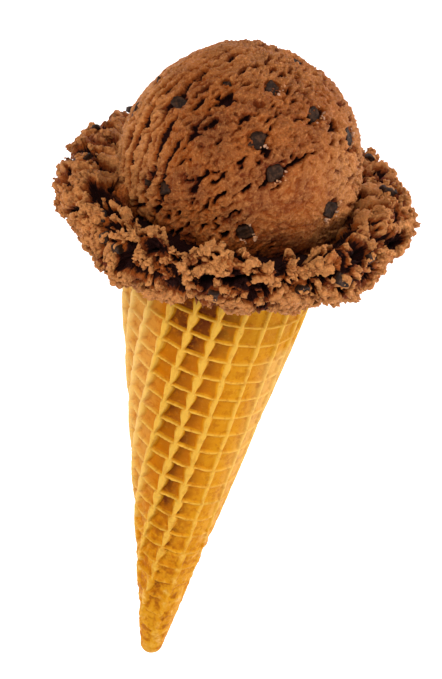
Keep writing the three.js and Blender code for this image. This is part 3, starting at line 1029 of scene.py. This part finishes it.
@dataclass
class Collar:
    """The rim of ice cream pressed out between the ball and the cone: a craggy ring.

    Its sections list the reach from its middle line at even angles round, from straight out and then
    up. A wave has a height, a count round the ring and a phase. A swell has a bearing, an angle, a
    height and a spread, and a gap a bearing, a depth and a spread, with their angles in degrees.
    """

    middle_radius: float = 34.0
    middle_height: float = 11.0
    front: tuple[float, ...] = (8.7, 8.3, 6, 4.6, 4.4, 5, 6, 9, 13.8, 11.4, 8.9, 8.4)
    back: tuple[float, ...] = (10.4, 12.3, 15.2, 12.3, 10, 9.2, 9, 10, 12.3, 8.5, 7.8, 8.6)
    front_to: float = math.radians(25)
    back_from: float = math.radians(100)
    mouth_radius: float = 26.3
    edge_radius: float = 45.0
    left_in: float = 1.2
    lift_right: float = 2.6
    lift_back: float = 4.4
    waves: tuple[tuple[float, float, float], ...] = ((0.9, 5, 0.6), (0.7, 9, -1.1), (0.5, 14, 2))
    swells: tuple[tuple[float, float, float, float], ...] = (
        (-41, -50, 3.4, 13),
        (-70, -28, -2.8, 12),
        (-86, 15, -0.2, 9),
        (-130, 50, 2.4, 16),
        (46, -78, -2.8, 8),
        (56, -45, 1.8, 8),
        (76, -22, -3.0, 12),
        (104, 20, 1.6, 14),
    )
    gaps: tuple[tuple[float, float, float], ...] = (
        (-33, 3.5, 4),
        (-13, 5.2, 5),
        (17, 5.0, 5.5),
        (33, 2.6, 3),
    )
    gaps_from: float = math.radians(15)
    knob_size: float = 4.4
    knob_height: float = 2.8
    pit_depth: float = 1.1
    hollow_depth: float = 4.8
    held_over: float = 0.4
    inner_depth: float = 3.4
    inner_from: float = math.radians(16)
    beside_ball: float = 3.0
    leans: tuple[Noise, ...] = (Noise(4.5, 0.8, 101), Noise(1.8, 0.3, 105))
    columns: int = 560
    rows: int = 176
    core_radii: tuple[float, ...] = (21.5, 22.5, 27, 30, 30.5, 30, 26, 22)
    core_heights: tuple[float, ...] = (-8, -2, 1.4, 2, 5, 9, 11.5, 14)
    core_warps: tuple[Noise, ...] = (Noise(3.5, 1.0, 111), Noise(1.5, 0.4, 114))
    core_grid: tuple[int, int] = (30, 180)
    core_painted_shade: float = -0.8
    chips: tuple[ChipPlace, ...] = COLLAR_CHIPS + drawn_places(90, (130, 262), (-10, 75))

    def reach(self, bearing: np.ndarray, angle: np.ndarray) -> np.ndarray:
        """Distance from the collar's middle line to its smooth face, blended between the listed
        angles round the section, and between the front's section and the back's.

        Args:
            bearing: Bearings round the ring.
            angle: Angles round the section.

        Returns:
            The distances.
        """
        at = (angle / TURN % 1.0) * len(self.front)
        low = np.floor(at).astype(int) % len(self.front)
        high = (low + 1) % len(self.front)
        part = fade(at - np.floor(at))
        front, back = (blend(np.array(s)[low], np.array(s)[high], part) for s in (self.front, self.back))
        behind = ramp(-math.cos(self.front_to), -math.cos(self.back_from), -np.cos(bearing))
        return blend(front, back, behind)

    def swell(self, bearing: np.ndarray, angle: np.ndarray) -> np.ndarray:
        """How far the collar swells out: a bell curve round each listed bearing and angle, twice as
        wide round the section.

        Args:
            bearing: Bearings round the ring.
            angle: Angles round the section.

        Returns:
            The heights, under 0 where it is drawn in.
        """
        total = np.zeros(np.broadcast(bearing, angle).shape)
        for at_bearing, at_angle, height, spread in self.swells:
            aside = bearing - math.radians(at_bearing)
            above = angle - math.radians(at_angle)
            aside = aside - TURN * np.round(aside / TURN)
            above = above - TURN * np.round(above / TURN)
            total = total + height * np.exp(-(aside**2 + (above / 2) ** 2) / math.radians(spread) ** 2)
        return total

    def dip(self, bearing: np.ndarray, angle: np.ndarray) -> np.ndarray:
        """How far the crest beside the ball is broken down: a bell curve round each gap's bearing,
        over the upper part of the section.

        Args:
            bearing: Bearings round the ring.
            angle: Angles round the section.

        Returns:
            The depths.
        """
        total = np.zeros(np.broadcast(bearing, angle).shape)
        for at_bearing, depth, spread in self.gaps:
            total = total + depth * bell((bearing - math.radians(at_bearing)) / math.radians(spread))
        return total * ramp(0.0, 0.8, np.sin(angle - self.gaps_from))

    def point(self, bearing: np.ndarray, angle: np.ndarray, push: np.ndarray | float) -> np.ndarray:
        """Points of the collar: out from its middle line at an angle round the section, by the reach,
        the edge's waves and swells and a push, lifted at the right and the back, and less the gaps.

        Args:
            bearing: Bearings round the ring.
            angle: Angles round the section.
            push: How far the points are pushed out of the smooth face.

        Returns:
            The points, upright.
        """
        wave = sum(height * np.cos(count * bearing + phase) for height, count, phase in self.waves)
        reach = self.reach(bearing, angle) + wave * np.maximum(0, np.cos(angle))
        reach = reach + self.swell(bearing, angle) + push
        radius = self.middle_radius + self.left_in * np.sin(bearing) + reach * np.cos(angle)
        share = np.maximum(0, (radius - self.mouth_radius) / (self.edge_radius - self.mouth_radius))
        lift = self.lift_right * np.maximum(0, np.sin(bearing))
        lift = lift + self.lift_back * np.maximum(0, -np.cos(bearing))
        height = self.middle_height + reach * np.sin(angle) + share * lift - self.dip(bearing, angle)
        return spot(bearing, radius, height)

    @staticmethod
    def crags(place: np.ndarray) -> np.ndarray:
        """The large crags that the solid has too: smooth lumps, and clefts where a noise is near 0."""
        clefts = 1.9 * (1 - 2 * np.abs(value_noise(place / 4.6, 12)))
        return 1.7 * value_noise(place / 7.5, 11) + clefts - 0.6

    def grid(self) -> tuple[np.ndarray, np.ndarray]:
        """The grid of the face, with its points closer together where the collar shows.

        Returns:
            The points' angles round the section, and their bearings.
        """
        even = np.arange(self.rows) * TURN / self.rows
        angle = even - 0.3 * np.sin(even - math.radians(10))
        around = np.arange(self.columns) * TURN / self.columns - math.pi
        return np.meshgrid(angle, dense_front(around), indexing="ij")

    def push(self, smooth: np.ndarray) -> np.ndarray:
        """How far the face is pushed out: the large crags; islands with deep hollows between them,
        where a ragged noise is low; and knobs with creases between them, and pits. What stands far
        out is held back. Each chip has calm ground.

        Args:
            smooth: Points of the smooth collar.

        Returns:
            One push for each point.
        """
        islands = gradient_noise(Noise(3.0, 1.3, 91).warp(smooth) / 4.2, 92)
        hollow = ramp(-0.05, -0.38, islands + 0.4 * gradient_noise(smooth / 1.5, 93))
        pit = ramp(-0.1, -0.45, gradient_noise(Noise(1.5, 0.5, 98).warp(smooth) / 1.7, 99))
        knobs = grain(Noise(2.5, 0.8, 94).warp(smooth), self.knob_size, 4, 97, 0.68, creased=True)
        push = 0.8 * self.crags(smooth) + self.knob_height * knobs - 1.5
        push = push - self.pit_depth * pit - self.hollow_depth * hollow
        push = np.minimum(push, self.held_over + 0.3 * (push - self.held_over))
        for chip in self.chips:
            away = np.linalg.norm(smooth - self.chip_place(chip)[0], axis=-1)
            seat = 0.25 - 1.3 * ramp(chip.reach - 0.6, chip.reach + 0.2, away)
            push = blend(push, seat, ramp(chip.reach + 1.6, chip.reach + 0.3, away))
        return push

    def chip_place(self, chip: ChipPlace) -> tuple[np.ndarray, np.ndarray]:
        """A chip's place on the smooth collar, and the outward direction there."""
        bearing, angle = np.radians([chip.bearing]), np.radians([chip.rise])
        return self.point(bearing, angle, 0.0)[0], spot(bearing, np.cos(angle), np.sin(angle))[0]

    def lean(self, points: np.ndarray) -> np.ndarray:
        """Moves points aside so that lumps lean over the hollows beside them.

        Args:
            points: Points of the face.

        Returns:
            The moved points.
        """
        for noise in self.leans:
            points = noise.warp(points)
        return points

    def surface(self) -> Surface:
        """The collar's face: its section carried round, pushed out, and made to lean. It is deep under the
        ball at the front, where it is painted dark as shade, and pushed up to the ball at the left. The
        tone is painted paler as light on what stands out, most so at the front and least at the left, and
        painted dark as shade in hollows and gaps.

        Returns:
            The face, which carries its tone.
        """
        angle, bearing = self.grid()
        ahead, right = np.cos(bearing), np.sin(bearing)
        smooth = self.point(bearing, angle, 0.0)
        edge = angle + self.inner_from + 0.5 * gradient_noise(smooth / 3.6, 107)
        inner = ramp(0.0, 0.35, -np.cos(edge)) * ramp(0.2, 0.75, ahead)
        push = self.push(smooth) - self.inner_depth * inner
        beside = ramp(-0.2, 0.5, -np.cos(angle)) * ramp(0.75, 0.35, ahead) * ramp(0.1, -0.3, right)
        push = np.maximum(push, 1.0 - self.reach(bearing, angle)) + self.beside_ball * beside
        points = self.lean(self.point(bearing, angle, push))
        # painted shade under the ball at the front, in the gaps and in deep hollows
        painted_shade = np.maximum(inner, ramp(2.4, 5.0, self.dip(bearing, angle)))
        painted_shade = np.maximum(ramp(-0.8, -2.2, push), painted_shade)
        # painted light: paler at the front, darker at the left
        painted_light = 1.0 + 0.4 * ramp(0.3, 0.9, ahead) - 0.3 * ramp(0.1, 0.6, -right)
        painted_light_and_tone = painted_light * ramp(-0.8, 0.4, push) - 1.3 * painted_shade
        faces = grid_faces(self.rows, self.columns, Ends.JOINED)
        return Surface(points.reshape(-1, 3), faces, {"painted_light_and_tone": painted_light_and_tone.ravel()})

    def core(self) -> Surface:
        """What the ball and the collar sit on, in the dark between them: a turned body with a rough
        face, made of rings whose radii and heights are blended along a short list.

        Returns:
            The body, of one tone painted near black as shade.
        """
        rows, columns = self.core_grid
        turn, share = np.linspace(0, 1, len(self.core_radii)), np.linspace(0, 1, rows)
        radii, heights = np.interp(share, turn, self.core_radii), np.interp(share, turn, self.core_heights)
        bearings = np.arange(columns) * TURN / columns
        points = spot(bearings[None], radii[:, None], heights[:, None]).reshape(-1, 3)
        for noise in self.core_warps:
            points = noise.warp(points)
        ends = np.array([[0, 0, self.core_heights[0]], [0, 0, self.core_heights[-1]]])
        points = np.concatenate((points, ends))
        # painted shade: the whole body is near black
        painted_light_and_tone = np.full(len(points), self.core_painted_shade)
        return Surface(points, grid_faces(rows, columns, Ends.POLES), {"painted_light_and_tone": painted_light_and_tone})

    def add_chips(self, chips: Chips) -> None:
        """Lays the collar's chips on the calm ground left for them.

        Args:
            chips: What they are added to.
        """
        for number, place in enumerate(self.chips):
            point, away = self.chip_place(place)
            chips.add(self.lean(point[None] + 0.35 * away)[0], away, place, 300 + number)

    def crests(self, rim: Surface) -> tuple[np.ndarray, np.ndarray, np.ndarray]:
        """The places of the collar's face that bits may sit on: its outer side, where it stands out,
        clear of the floor.

        Args:
            rim: The collar's face.

        Returns:
            The places, the outward directions there, and the tone, with its painted light and shade.
        """
        angle, bearing = self.grid()
        outs = spot(bearing, np.cos(angle), np.sin(angle)).reshape(-1, 3)
        shows = (np.cos(angle + math.radians(8)) > 0.0).ravel() & (rim.marks["painted_light_and_tone"] > 0.2)
        shows &= POSE.height(rim.points) > 1.5
        return rim.points[shows], outs[shows], rim.marks["painted_light_and_tone"][shows]


@dataclass
class Clumps:
    """Torn bits of ice cream, heaped on a face: balls made uneven by noise, all in one mesh."""

    count: int
    smallest: float
    largest: float
    columns: int
    rows: int
    seed: int
    sink: float = 0.35

    def surface(self, anchors: np.ndarray, outs: np.ndarray, painted_light_and_tone: np.ndarray) -> Surface:
        """Makes the bits on some of the anchors.

        Each is a grid on a ball, with its radius changed by noise, stretched and turned at random,
        and moved to an anchor, sunk by a share of its size.

        Args:
            anchors: Points of the face that bits may sit on.
            outs: Outward directions there.
            painted_light_and_tone: The face's tone at each anchor, with its painted light and shade.

        Returns:
            The bits as one surface.
        """
        rng = np.random.default_rng(self.seed)
        pick = rng.choice(len(anchors), self.count, replace=False)
        skew = rng.random(self.count) ** 2.2
        radius = self.smallest + (self.largest - self.smallest) * skew
        ball = ball_grid(self.rows, self.columns)
        shape = ball[None] * 1.15 + rng.random((self.count, 1, 3)) * 90
        bulge = 1 + 0.5 * gradient_noise(shape, 7) + 0.34 * gradient_noise(shape * 2.4, 8)
        bulge += 0.2 * gradient_noise(shape * 5.3, 9)
        bits = ball[None] * bulge[..., None] * radius[:, None, None]
        bits *= rng.uniform(0.5, 1.3, (self.count, 1, 3))
        turns, _ = np.linalg.qr(rng.normal(size=(self.count, 3, 3)))
        middles = anchors[pick] + outs[pick] * (radius * (0.5 - self.sink))[:, None]
        points = (middles[:, None] + bits @ turns).reshape(-1, 3)
        faces = grid_faces(self.rows, self.columns, Ends.POLES)
        starts = np.arange(self.count)[:, None, None] * len(ball)
        every = np.where(faces[None] >= 0, faces[None] + starts, -1).reshape(-1, 4)
        mirrored = np.repeat(np.linalg.det(turns) < 0, len(faces))
        every[mirrored] = every[mirrored][:, [2, 1, 0, 3]]
        # painted light: half the face's painted tone, and paler where a bit bulges out
        marks = np.repeat(0.5 * painted_light_and_tone[pick] + rng.uniform(0.1, 0.6, self.count), len(ball))
        return Surface(points, every, {"painted_light_and_tone": marks + 0.5 * (bulge.ravel() - 1)})


# ---------- the wafer ----------


@dataclass
class Wafer:
    """The rolled cone: a sheet with a pressed grid, rolled round once, and a blunt tip.

    The crust's numbers are the slant distances at which the tip's lumpy crust begins and is full. The
    browned ones are the distances from the mouth at which the face starts to darken and is dark, a painted
    shadow of the collar with a chocolate stain. The tip's roughness is a noise's height and seed.
    """

    mouth_radius: float = 26.3
    half_angle: float = math.radians(11.52)
    tip_radius: float = 3.15
    tip_roughness: tuple[float, int] = (0.06, 131)
    tip_rows: int = 12
    wall: float = 2.4
    seam: float = math.pi
    seam_step: float = 0.9
    seam_from: float = 60.0
    along: float = 5.59
    across: float = 6.39
    square_at: float = math.radians(41.8)
    first_along: float = 0.02
    first_across: float = -2.56
    rib_top: float = 0.13
    leaf_top: float = 0.5
    cross_foot: float = 0.75
    narrow_foot: float = 0.75
    wide_foot: float = 1.8
    cross_height: float = 0.7
    pocket: float = 1.75
    joint: float = 67.1
    crust: tuple[float, float] = (82.0, 32.0)
    waves: Noise = Noise(7.0, 0.14, 125)
    shaded_at: float = math.radians(-7)
    shaded_half: float = 0.3
    shadow_and_stain: tuple[float, float] = (20.0, 10.0)
    shadow_and_stain_level: float = 0.9
    rows: int = 488
    columns: int = 380
    inside: float = 20.0
    inside_rows: int = 8

    @property
    def apex(self) -> float:
        """Height of the mouth over the point where the cone's sides would meet."""
        return self.mouth_radius / math.tan(self.half_angle)

    @property
    def mouth_slant(self) -> float:
        """Distance from that point to the mouth along the side."""
        return self.mouth_radius / math.sin(self.half_angle)

    @property
    def tip_start(self) -> float:
        """Slant distance at which the round tip meets the side."""
        return self.tip_radius / math.tan(self.half_angle)

    def relief(self, slant: np.ndarray, bearing: np.ndarray) -> tuple[np.ndarray, np.ndarray, np.ndarray]:
        """Height of the pressed face at places of the cone.

        On the unrolled sheet, a place is at its slant distance and at its bearing times the sine of
        the half angle. The pressed grid is square there: a pocket's depth rises from its rim by the
        nearer wall. The walls beside the ribs that run along the cone are leaf-shaped, widest under
        the next rib across, and plainer at the right. Pockets are shallow at the right and the tip,
        and towards the tip the grid fades into a lumpy crust.

        Args:
            slant: Distances from the apex along the side.
            bearing: Bearings round the cone.

        Returns:
            The height over the mean face, the share of a rib's height, and how darkly it is baked and
            painted with shade: darker at the front and on the left part of each pocket as painted shade,
            and under the collar as painted shadow with a chocolate stain, and paler at the left and right
            as painted light.
        """
        turn = (bearing - self.square_at) * math.sin(self.half_angle)
        on_sheet = np.stack((slant * np.cos(turn), slant * np.sin(turn), 0 * slant), -1)
        crust = ramp(*self.crust, slant)
        plain = ramp(-0.1, 0.55, bearing) * ramp(2.6, 1.2, bearing)
        uneven = np.stack([gradient_noise(on_sheet / 4.0, 111 + n) for n in range(2)], -1)
        uneven = uneven * (0.28 + 0.3 * crust)[..., None]
        u = (on_sheet[..., 0] + uneven[..., 0] - self.first_along) / self.along
        v = (on_sheet[..., 1] + uneven[..., 1] - self.first_across) / self.across
        share = self.rib_share(u, v, plain)
        cell = np.stack((np.floor(u), np.floor(v), 0 * u), -1)
        deeper, baked = (lattice_bits(cell, seed) / WORD for seed in (117, 118))
        depth = self.pocket * blend(0.8, 1.1, deeper) * blend(0.2, 1.0, ramp(16, 66, slant))
        depth = depth * (1 - 0.68 * plain * blend(1.0, 0.7, ramp(60, 120, slant)))
        rough = (0.07 + 0.2 * crust) * grain(on_sheet, 1.8, 3, 121) + self.waves.over(on_sheet)
        mottle = grain(on_sheet, 2.8, 3, 126, 0.7)
        # painted shade: pockets darker at the front, and on the left part of each pocket, on top of random
        # baking
        centre = bell((bearing - self.shaded_at) / self.shaded_half)
        shade = blend(1.3, 0.5, ramp(0.15, 0.85, v - np.floor(v)))
        toast_and_shade = (0.12 + 0.8 * centre) * shade * blend(0.3, 1.0, baked) * ramp(0, 50, slant)
        # painted light: paler at the left and right, and a little further up
        painted_side_light = 0.45 * ramp(-0.25, -1.1, bearing) + 0.4 * ramp(0.5, 1.2, bearing)
        painted_side_light = painted_side_light + 0.08 * ramp(85, 120, slant)
        toast_and_shade = toast_and_shade - painted_side_light * ramp(20, 90, slant)
        # painted shadow of the collar near the mouth, with a chocolate stain
        low, high = (self.mouth_slant - from_mouth for from_mouth in self.shadow_and_stain)
        toast_and_shade = blend(toast_and_shade, self.shadow_and_stain_level, ramp(low, high, slant) * ramp(-0.6, -0.2, bearing))
        toast_and_shade = toast_and_shade - 0.65 * crust * mottle
        mark = blend(share, 0.3 + 0.38 * share, 0.75 * plain)
        mark = blend(mark, 0.18 + 0.32 * mark + 0.6 * mottle, crust)
        return -depth * (1 - share) + rough, mark, toast_and_shade

    def rib_share(self, u: np.ndarray, v: np.ndarray, plain: np.ndarray) -> np.ndarray:
        """The share of a rib's height at places of the grid: 1 on a rib that runs along the cone.

        Args:
            u: Pockets along the cone.
            v: Pockets round it.
            plain: How plain the leaf-shaped walls are.

        Returns:
            The nearer wall's share, smoothed.
        """
        from_u = np.abs(u - np.round(u)) * self.along
        from_v = np.abs(v - np.round(v)) * self.across
        part = u - np.floor(u)
        leaf = ramp(0.0, 0.72, part) * ramp(1.0, 0.88, part) * (1 - 0.7 * plain)
        cross = 1 - np.clip((from_u - self.rib_top) / (self.cross_foot - self.rib_top), 0, 1)
        top, foot = blend(self.rib_top, self.leaf_top, leaf), blend(self.narrow_foot, self.wide_foot, leaf)
        long = 1 - np.clip((from_v - top) / (foot - top), 0, 1)
        return fade(np.maximum(self.cross_height * cross, long))

    def rise(self, slant: np.ndarray, bearing: np.ndarray) -> np.ndarray:
        """Height of the sheet over the mean cone: it climbs one step in a full turn, less at the tip."""
        turn = (bearing - (self.seam - TURN)) / TURN
        return self.seam_step * (turn - 0.5) * ramp(0, self.seam_from, slant)

    def face(self, slant: np.ndarray, bearing: np.ndarray, off: np.ndarray | float) -> np.ndarray:
        """A point at a slant distance and a bearing, and at a height off the mean cone."""
        s, c = math.sin(self.half_angle), math.cos(self.half_angle)
        return spot(bearing, slant * s + off * c, slant * c - off * s - self.apex)

    def side(self, low: float, high: float) -> tuple[np.ndarray, dict[str, np.ndarray]]:
        """Half of the pressed side.

        Args:
            low: Slant distance of its first row.
            high: Slant distance of its last row.

        Returns:
            Its points, and what they carry.
        """
        slants = np.linspace(low, high, self.rows // 2)
        slants, bearings = np.meshgrid(slants, self.bearings(), indexing="ij")
        height, share, toast_and_shade = self.relief(slants, bearings)
        height = height * ramp(self.tip_start - 1, self.tip_start + 4, slants)
        points = self.face(slants, bearings, height + self.rise(slants, bearings))
        return points.reshape(-1, 3), {"relief": share.ravel(), "toast_and_shade": toast_and_shade.ravel()}

    def bearings(self) -> np.ndarray:
        """The bearings of the columns, closer together at the front, with the seam between two."""
        even = (np.arange(self.columns) + 0.5) * TURN / self.columns - math.pi
        return np.clip(dense_front(even), -math.pi + 1e-4, math.pi - 1e-4)

    def tuck(self) -> np.ndarray:
        """The ring inside the wall at which the two halves of the cone meet."""
        return self.face(np.full(self.columns, self.joint), self.bearings(), -self.wall)

    def closed(self, rings: list[np.ndarray], marks: dict[str, np.ndarray],
               ends: tuple[float, float]) -> Surface:
        """Rings of points closed by a point on the axis at each end.

        Args:
            rings: Points before the side, of the side and after it, from the tip up.
            marks: What the side's points carry. Other points get 0.5.
            ends: Heights of the two end points.

        Returns:
            The closed surface.
        """
        points = np.concatenate(rings + [np.array([[0, 0, ends[0]], [0, 0, ends[1]]])])
        before, after = len(rings[0]), len(rings[2]) + len(ends)
        carried = {k: np.pad(v, (before, after), constant_values=0.5) for k, v in marks.items()}
        rows = (len(points) - len(ends)) // self.columns
        return Surface(points, grid_faces(rows, self.columns, Ends.POLES), carried)

    def lower(self) -> Surface:
        """The lower half: rings round the blunt tip, up the side, and a ring tucked in at the top.

        Returns:
            The closed half.
        """
        up_tip = np.arange(self.tip_rows) / self.tip_rows
        turn, bearings = np.meshgrid(up_tip, self.bearings(), indexing="ij")
        turn = turn * (math.pi / 2 - self.half_angle) + 0.02
        middle = self.tip_radius / math.sin(self.half_angle) - self.apex
        roughness, seed = self.tip_roughness
        rough = gradient_noise(spot(bearings, 3 * np.sin(turn), 3 * np.cos(turn)), seed)
        ball = self.tip_radius + roughness * rough
        tip = spot(bearings, ball * np.sin(turn), middle - ball * np.cos(turn)).reshape(-1, 3)
        side, marks = self.side(self.tip_start, self.joint)
        tuck = self.tuck()
        return self.closed([tip, side, tuck], marks, (middle - self.tip_radius, tuck[0, 2]))

    def upper(self) -> Surface:
        """The upper half: a ring tucked in, up the side, over the mouth's edge and down inside.

        Returns:
            The closed half.
        """
        tuck = self.tuck()
        side, marks = self.side(self.joint, self.mouth_slant)
        down = self.mouth_slant - 0.1 - np.linspace(0, self.inside, self.inside_rows)
        slants, bearings = np.meshgrid(down, self.bearings(), indexing="ij")
        inside = self.face(slants, bearings, -self.wall).reshape(-1, 3)
        return self.closed([tuck, side, inside], marks, (tuck[0, 2], inside[-1, 2]))


# ---------- the studio ----------


@dataclass(frozen=True)
class Camera:
    """A long lens that looks almost straight down on the lying cone."""

    elevation: float = math.radians(21.0)
    roll: float = math.radians(10.28)
    distance: float = 534.85
    focal_mm: float = 100.74
    sensor_mm: float = 36.0
    aside: float = 21.97
    along: float = 98.57

    def make(self, wafer: Wafer) -> None:
        """Places the scene's camera: off the cone's apex by steps to its own right, up and towards it.

        Args:
            wafer: The cone, whose apex the steps start from.
        """
        e, r = self.elevation, self.roll
        right = np.array((math.cos(r), math.sin(e) * math.sin(r), math.cos(e) * math.sin(r)))
        up = np.array((-math.sin(r), math.sin(e) * math.cos(r), math.cos(e) * math.cos(r)))
        toward = np.array((0, -math.cos(e), math.sin(e)))
        eye = np.array((0, 0, -wafer.apex)) + self.aside * right + self.along * up + self.distance * toward
        axes = Matrix([Vector(POSE.turn(axis)) for axis in (right, up, toward)]).transposed()
        data = bpy.data.cameras.new("studio_camera")
        data.lens = self.focal_mm
        data.sensor_width = self.sensor_mm
        data.clip_start, data.clip_end = 0.01, 20.0
        camera = bpy.data.objects.new("studio_camera", data)
        camera.matrix_world = Matrix.Translation(Vector(POSE.place(eye))) @ axes.to_4x4()
        bpy.context.scene.collection.objects.link(camera)
        bpy.context.scene.camera = camera


@dataclass(frozen=True)
class SoftLight:
    """A square soft light: where it stands, in metres, its side and its power."""

    name: str
    at: tuple[float, float, float]
    size: float
    watts: float

    def make(self, aim: tuple[float, float, float]) -> None:
        """Adds the light.

        Args:
            aim: The point that it faces, in metres.
        """
        data = bpy.data.lights.new(self.name, "AREA")
        data.energy = self.watts
        data.size = self.size
        lamp = bpy.data.objects.new(self.name, data)
        lamp.location = self.at
        lamp.rotation_euler = (Vector(aim) - Vector(self.at)).to_track_quat("-Z", "Y").to_euler()
        bpy.context.scene.collection.objects.link(lamp)


@dataclass(frozen=True)
class Studio:
    """A pale floor, an even sky and soft lights on all sides."""

    floor_half: float = 3.0
    floor_colour: tuple[float, ...] = srgb(243, 243, 243)
    floor_glow: float = 0.72
    white: tuple[float, ...] = (1.0, 1.0, 1.0, 1.0)
    sky: float = 0.04
    aim: tuple[float, float, float] = (0.0, 0.02, 0.04)
    lights: tuple[SoftLight, ...] = (
        SoftLight("left_light", (-0.63, 0.02, 0.533), 0.24, 3.0),
        SoftLight("right_light", (0.76, 0.02, 0.29), 0.24, 4.3),
        SoftLight("corner_light", (0.553, 0.573, 0.206), 0.24, 1.5),
        SoftLight("top_light", (-0.1, 0.3, 0.8), 0.3, 3.6),
        SoftLight("tip_light", (-0.05, -0.55, 0.55), 0.3, 3.1),
    )

    def make(self) -> None:
        """Builds the floor, the sky and the lights."""
        mesh = bpy.data.meshes.new("floor")
        h = self.floor_half
        mesh.from_pydata([(-h, -h, 0), (h, -h, 0), (h, h, 0), (-h, h, 0)], [], [(0, 1, 2, 3)])
        sheet = ShaderSheet("pale_floor")
        sheet.constants(Base_Color=self.floor_colour, Roughness=0.9, Specular_IOR_Level=0.1)
        sheet.constants(Emission_Color=self.white, Emission_Strength=self.floor_glow)
        mesh.materials.append(sheet.material)
        floor = bpy.data.objects.new("floor", mesh)
        bpy.context.scene.collection.objects.link(floor)
        world = bpy.data.worlds.new("sky")
        world.use_nodes = True
        world.node_tree.nodes["Background"].inputs["Color"].default_value = self.white
        world.node_tree.nodes["Background"].inputs["Strength"].default_value = self.sky
        bpy.context.scene.world = world
        for light in self.lights:
            light.make(self.aim)
        bpy.context.scene.view_settings.view_transform = "Standard"


# ---------- the whole ----------


def main() -> None:
    """Builds every piece in order."""
    logging.basicConfig(level=logging.INFO, format="%(name)s: %(message)s")
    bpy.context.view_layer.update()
    wafer, ball, collar, chips = Wafer(), Ball(), Collar(), Chips()
    Camera().make(wafer)
    Studio().make()
    ice_cream, chocolate = IceCreamLook().make(), ChocolateLook().make()
    baked = WaferLook().make()
    make_piece("wafer_low", wafer.lower(), baked, "wafer_cone")
    make_piece("wafer_high", wafer.upper(), baked, "wafer_cone")
    rim = collar.surface()
    crests = collar.crests(rim)
    beside, from_chip = ball.beside_chips()
    clumps = Clumps(count=160, smallest=0.7, largest=1.6, columns=30, rows=16, seed=401, sink=0.7)
    crumbs = Clumps(count=2300, smallest=0.28, largest=0.8, columns=8, rows=5, seed=402)
    frost = Clumps(count=56, smallest=0.2, largest=0.6, columns=8, rows=5, seed=403)
    frost_tone = np.full(len(beside), 4.0)
    parts = {
        "ball": ball.surface(),
        "collar": rim,
        "core": collar.core(),
        "clumps": clumps.surface(*crests),
        "crumbs": crumbs.surface(*crests),
        "frost": frost.surface(beside, from_chip, frost_tone),
    }
    for name, part in parts.items():
        make_piece(name, part, ice_cream, "ice_cream")
    ball.add_chips(chips)
    collar.add_chips(chips)
    make_piece("chocolate_pieces", join(chips.surfaces), chocolate, "ice_cream")


if __name__ == "__main__":
    main()
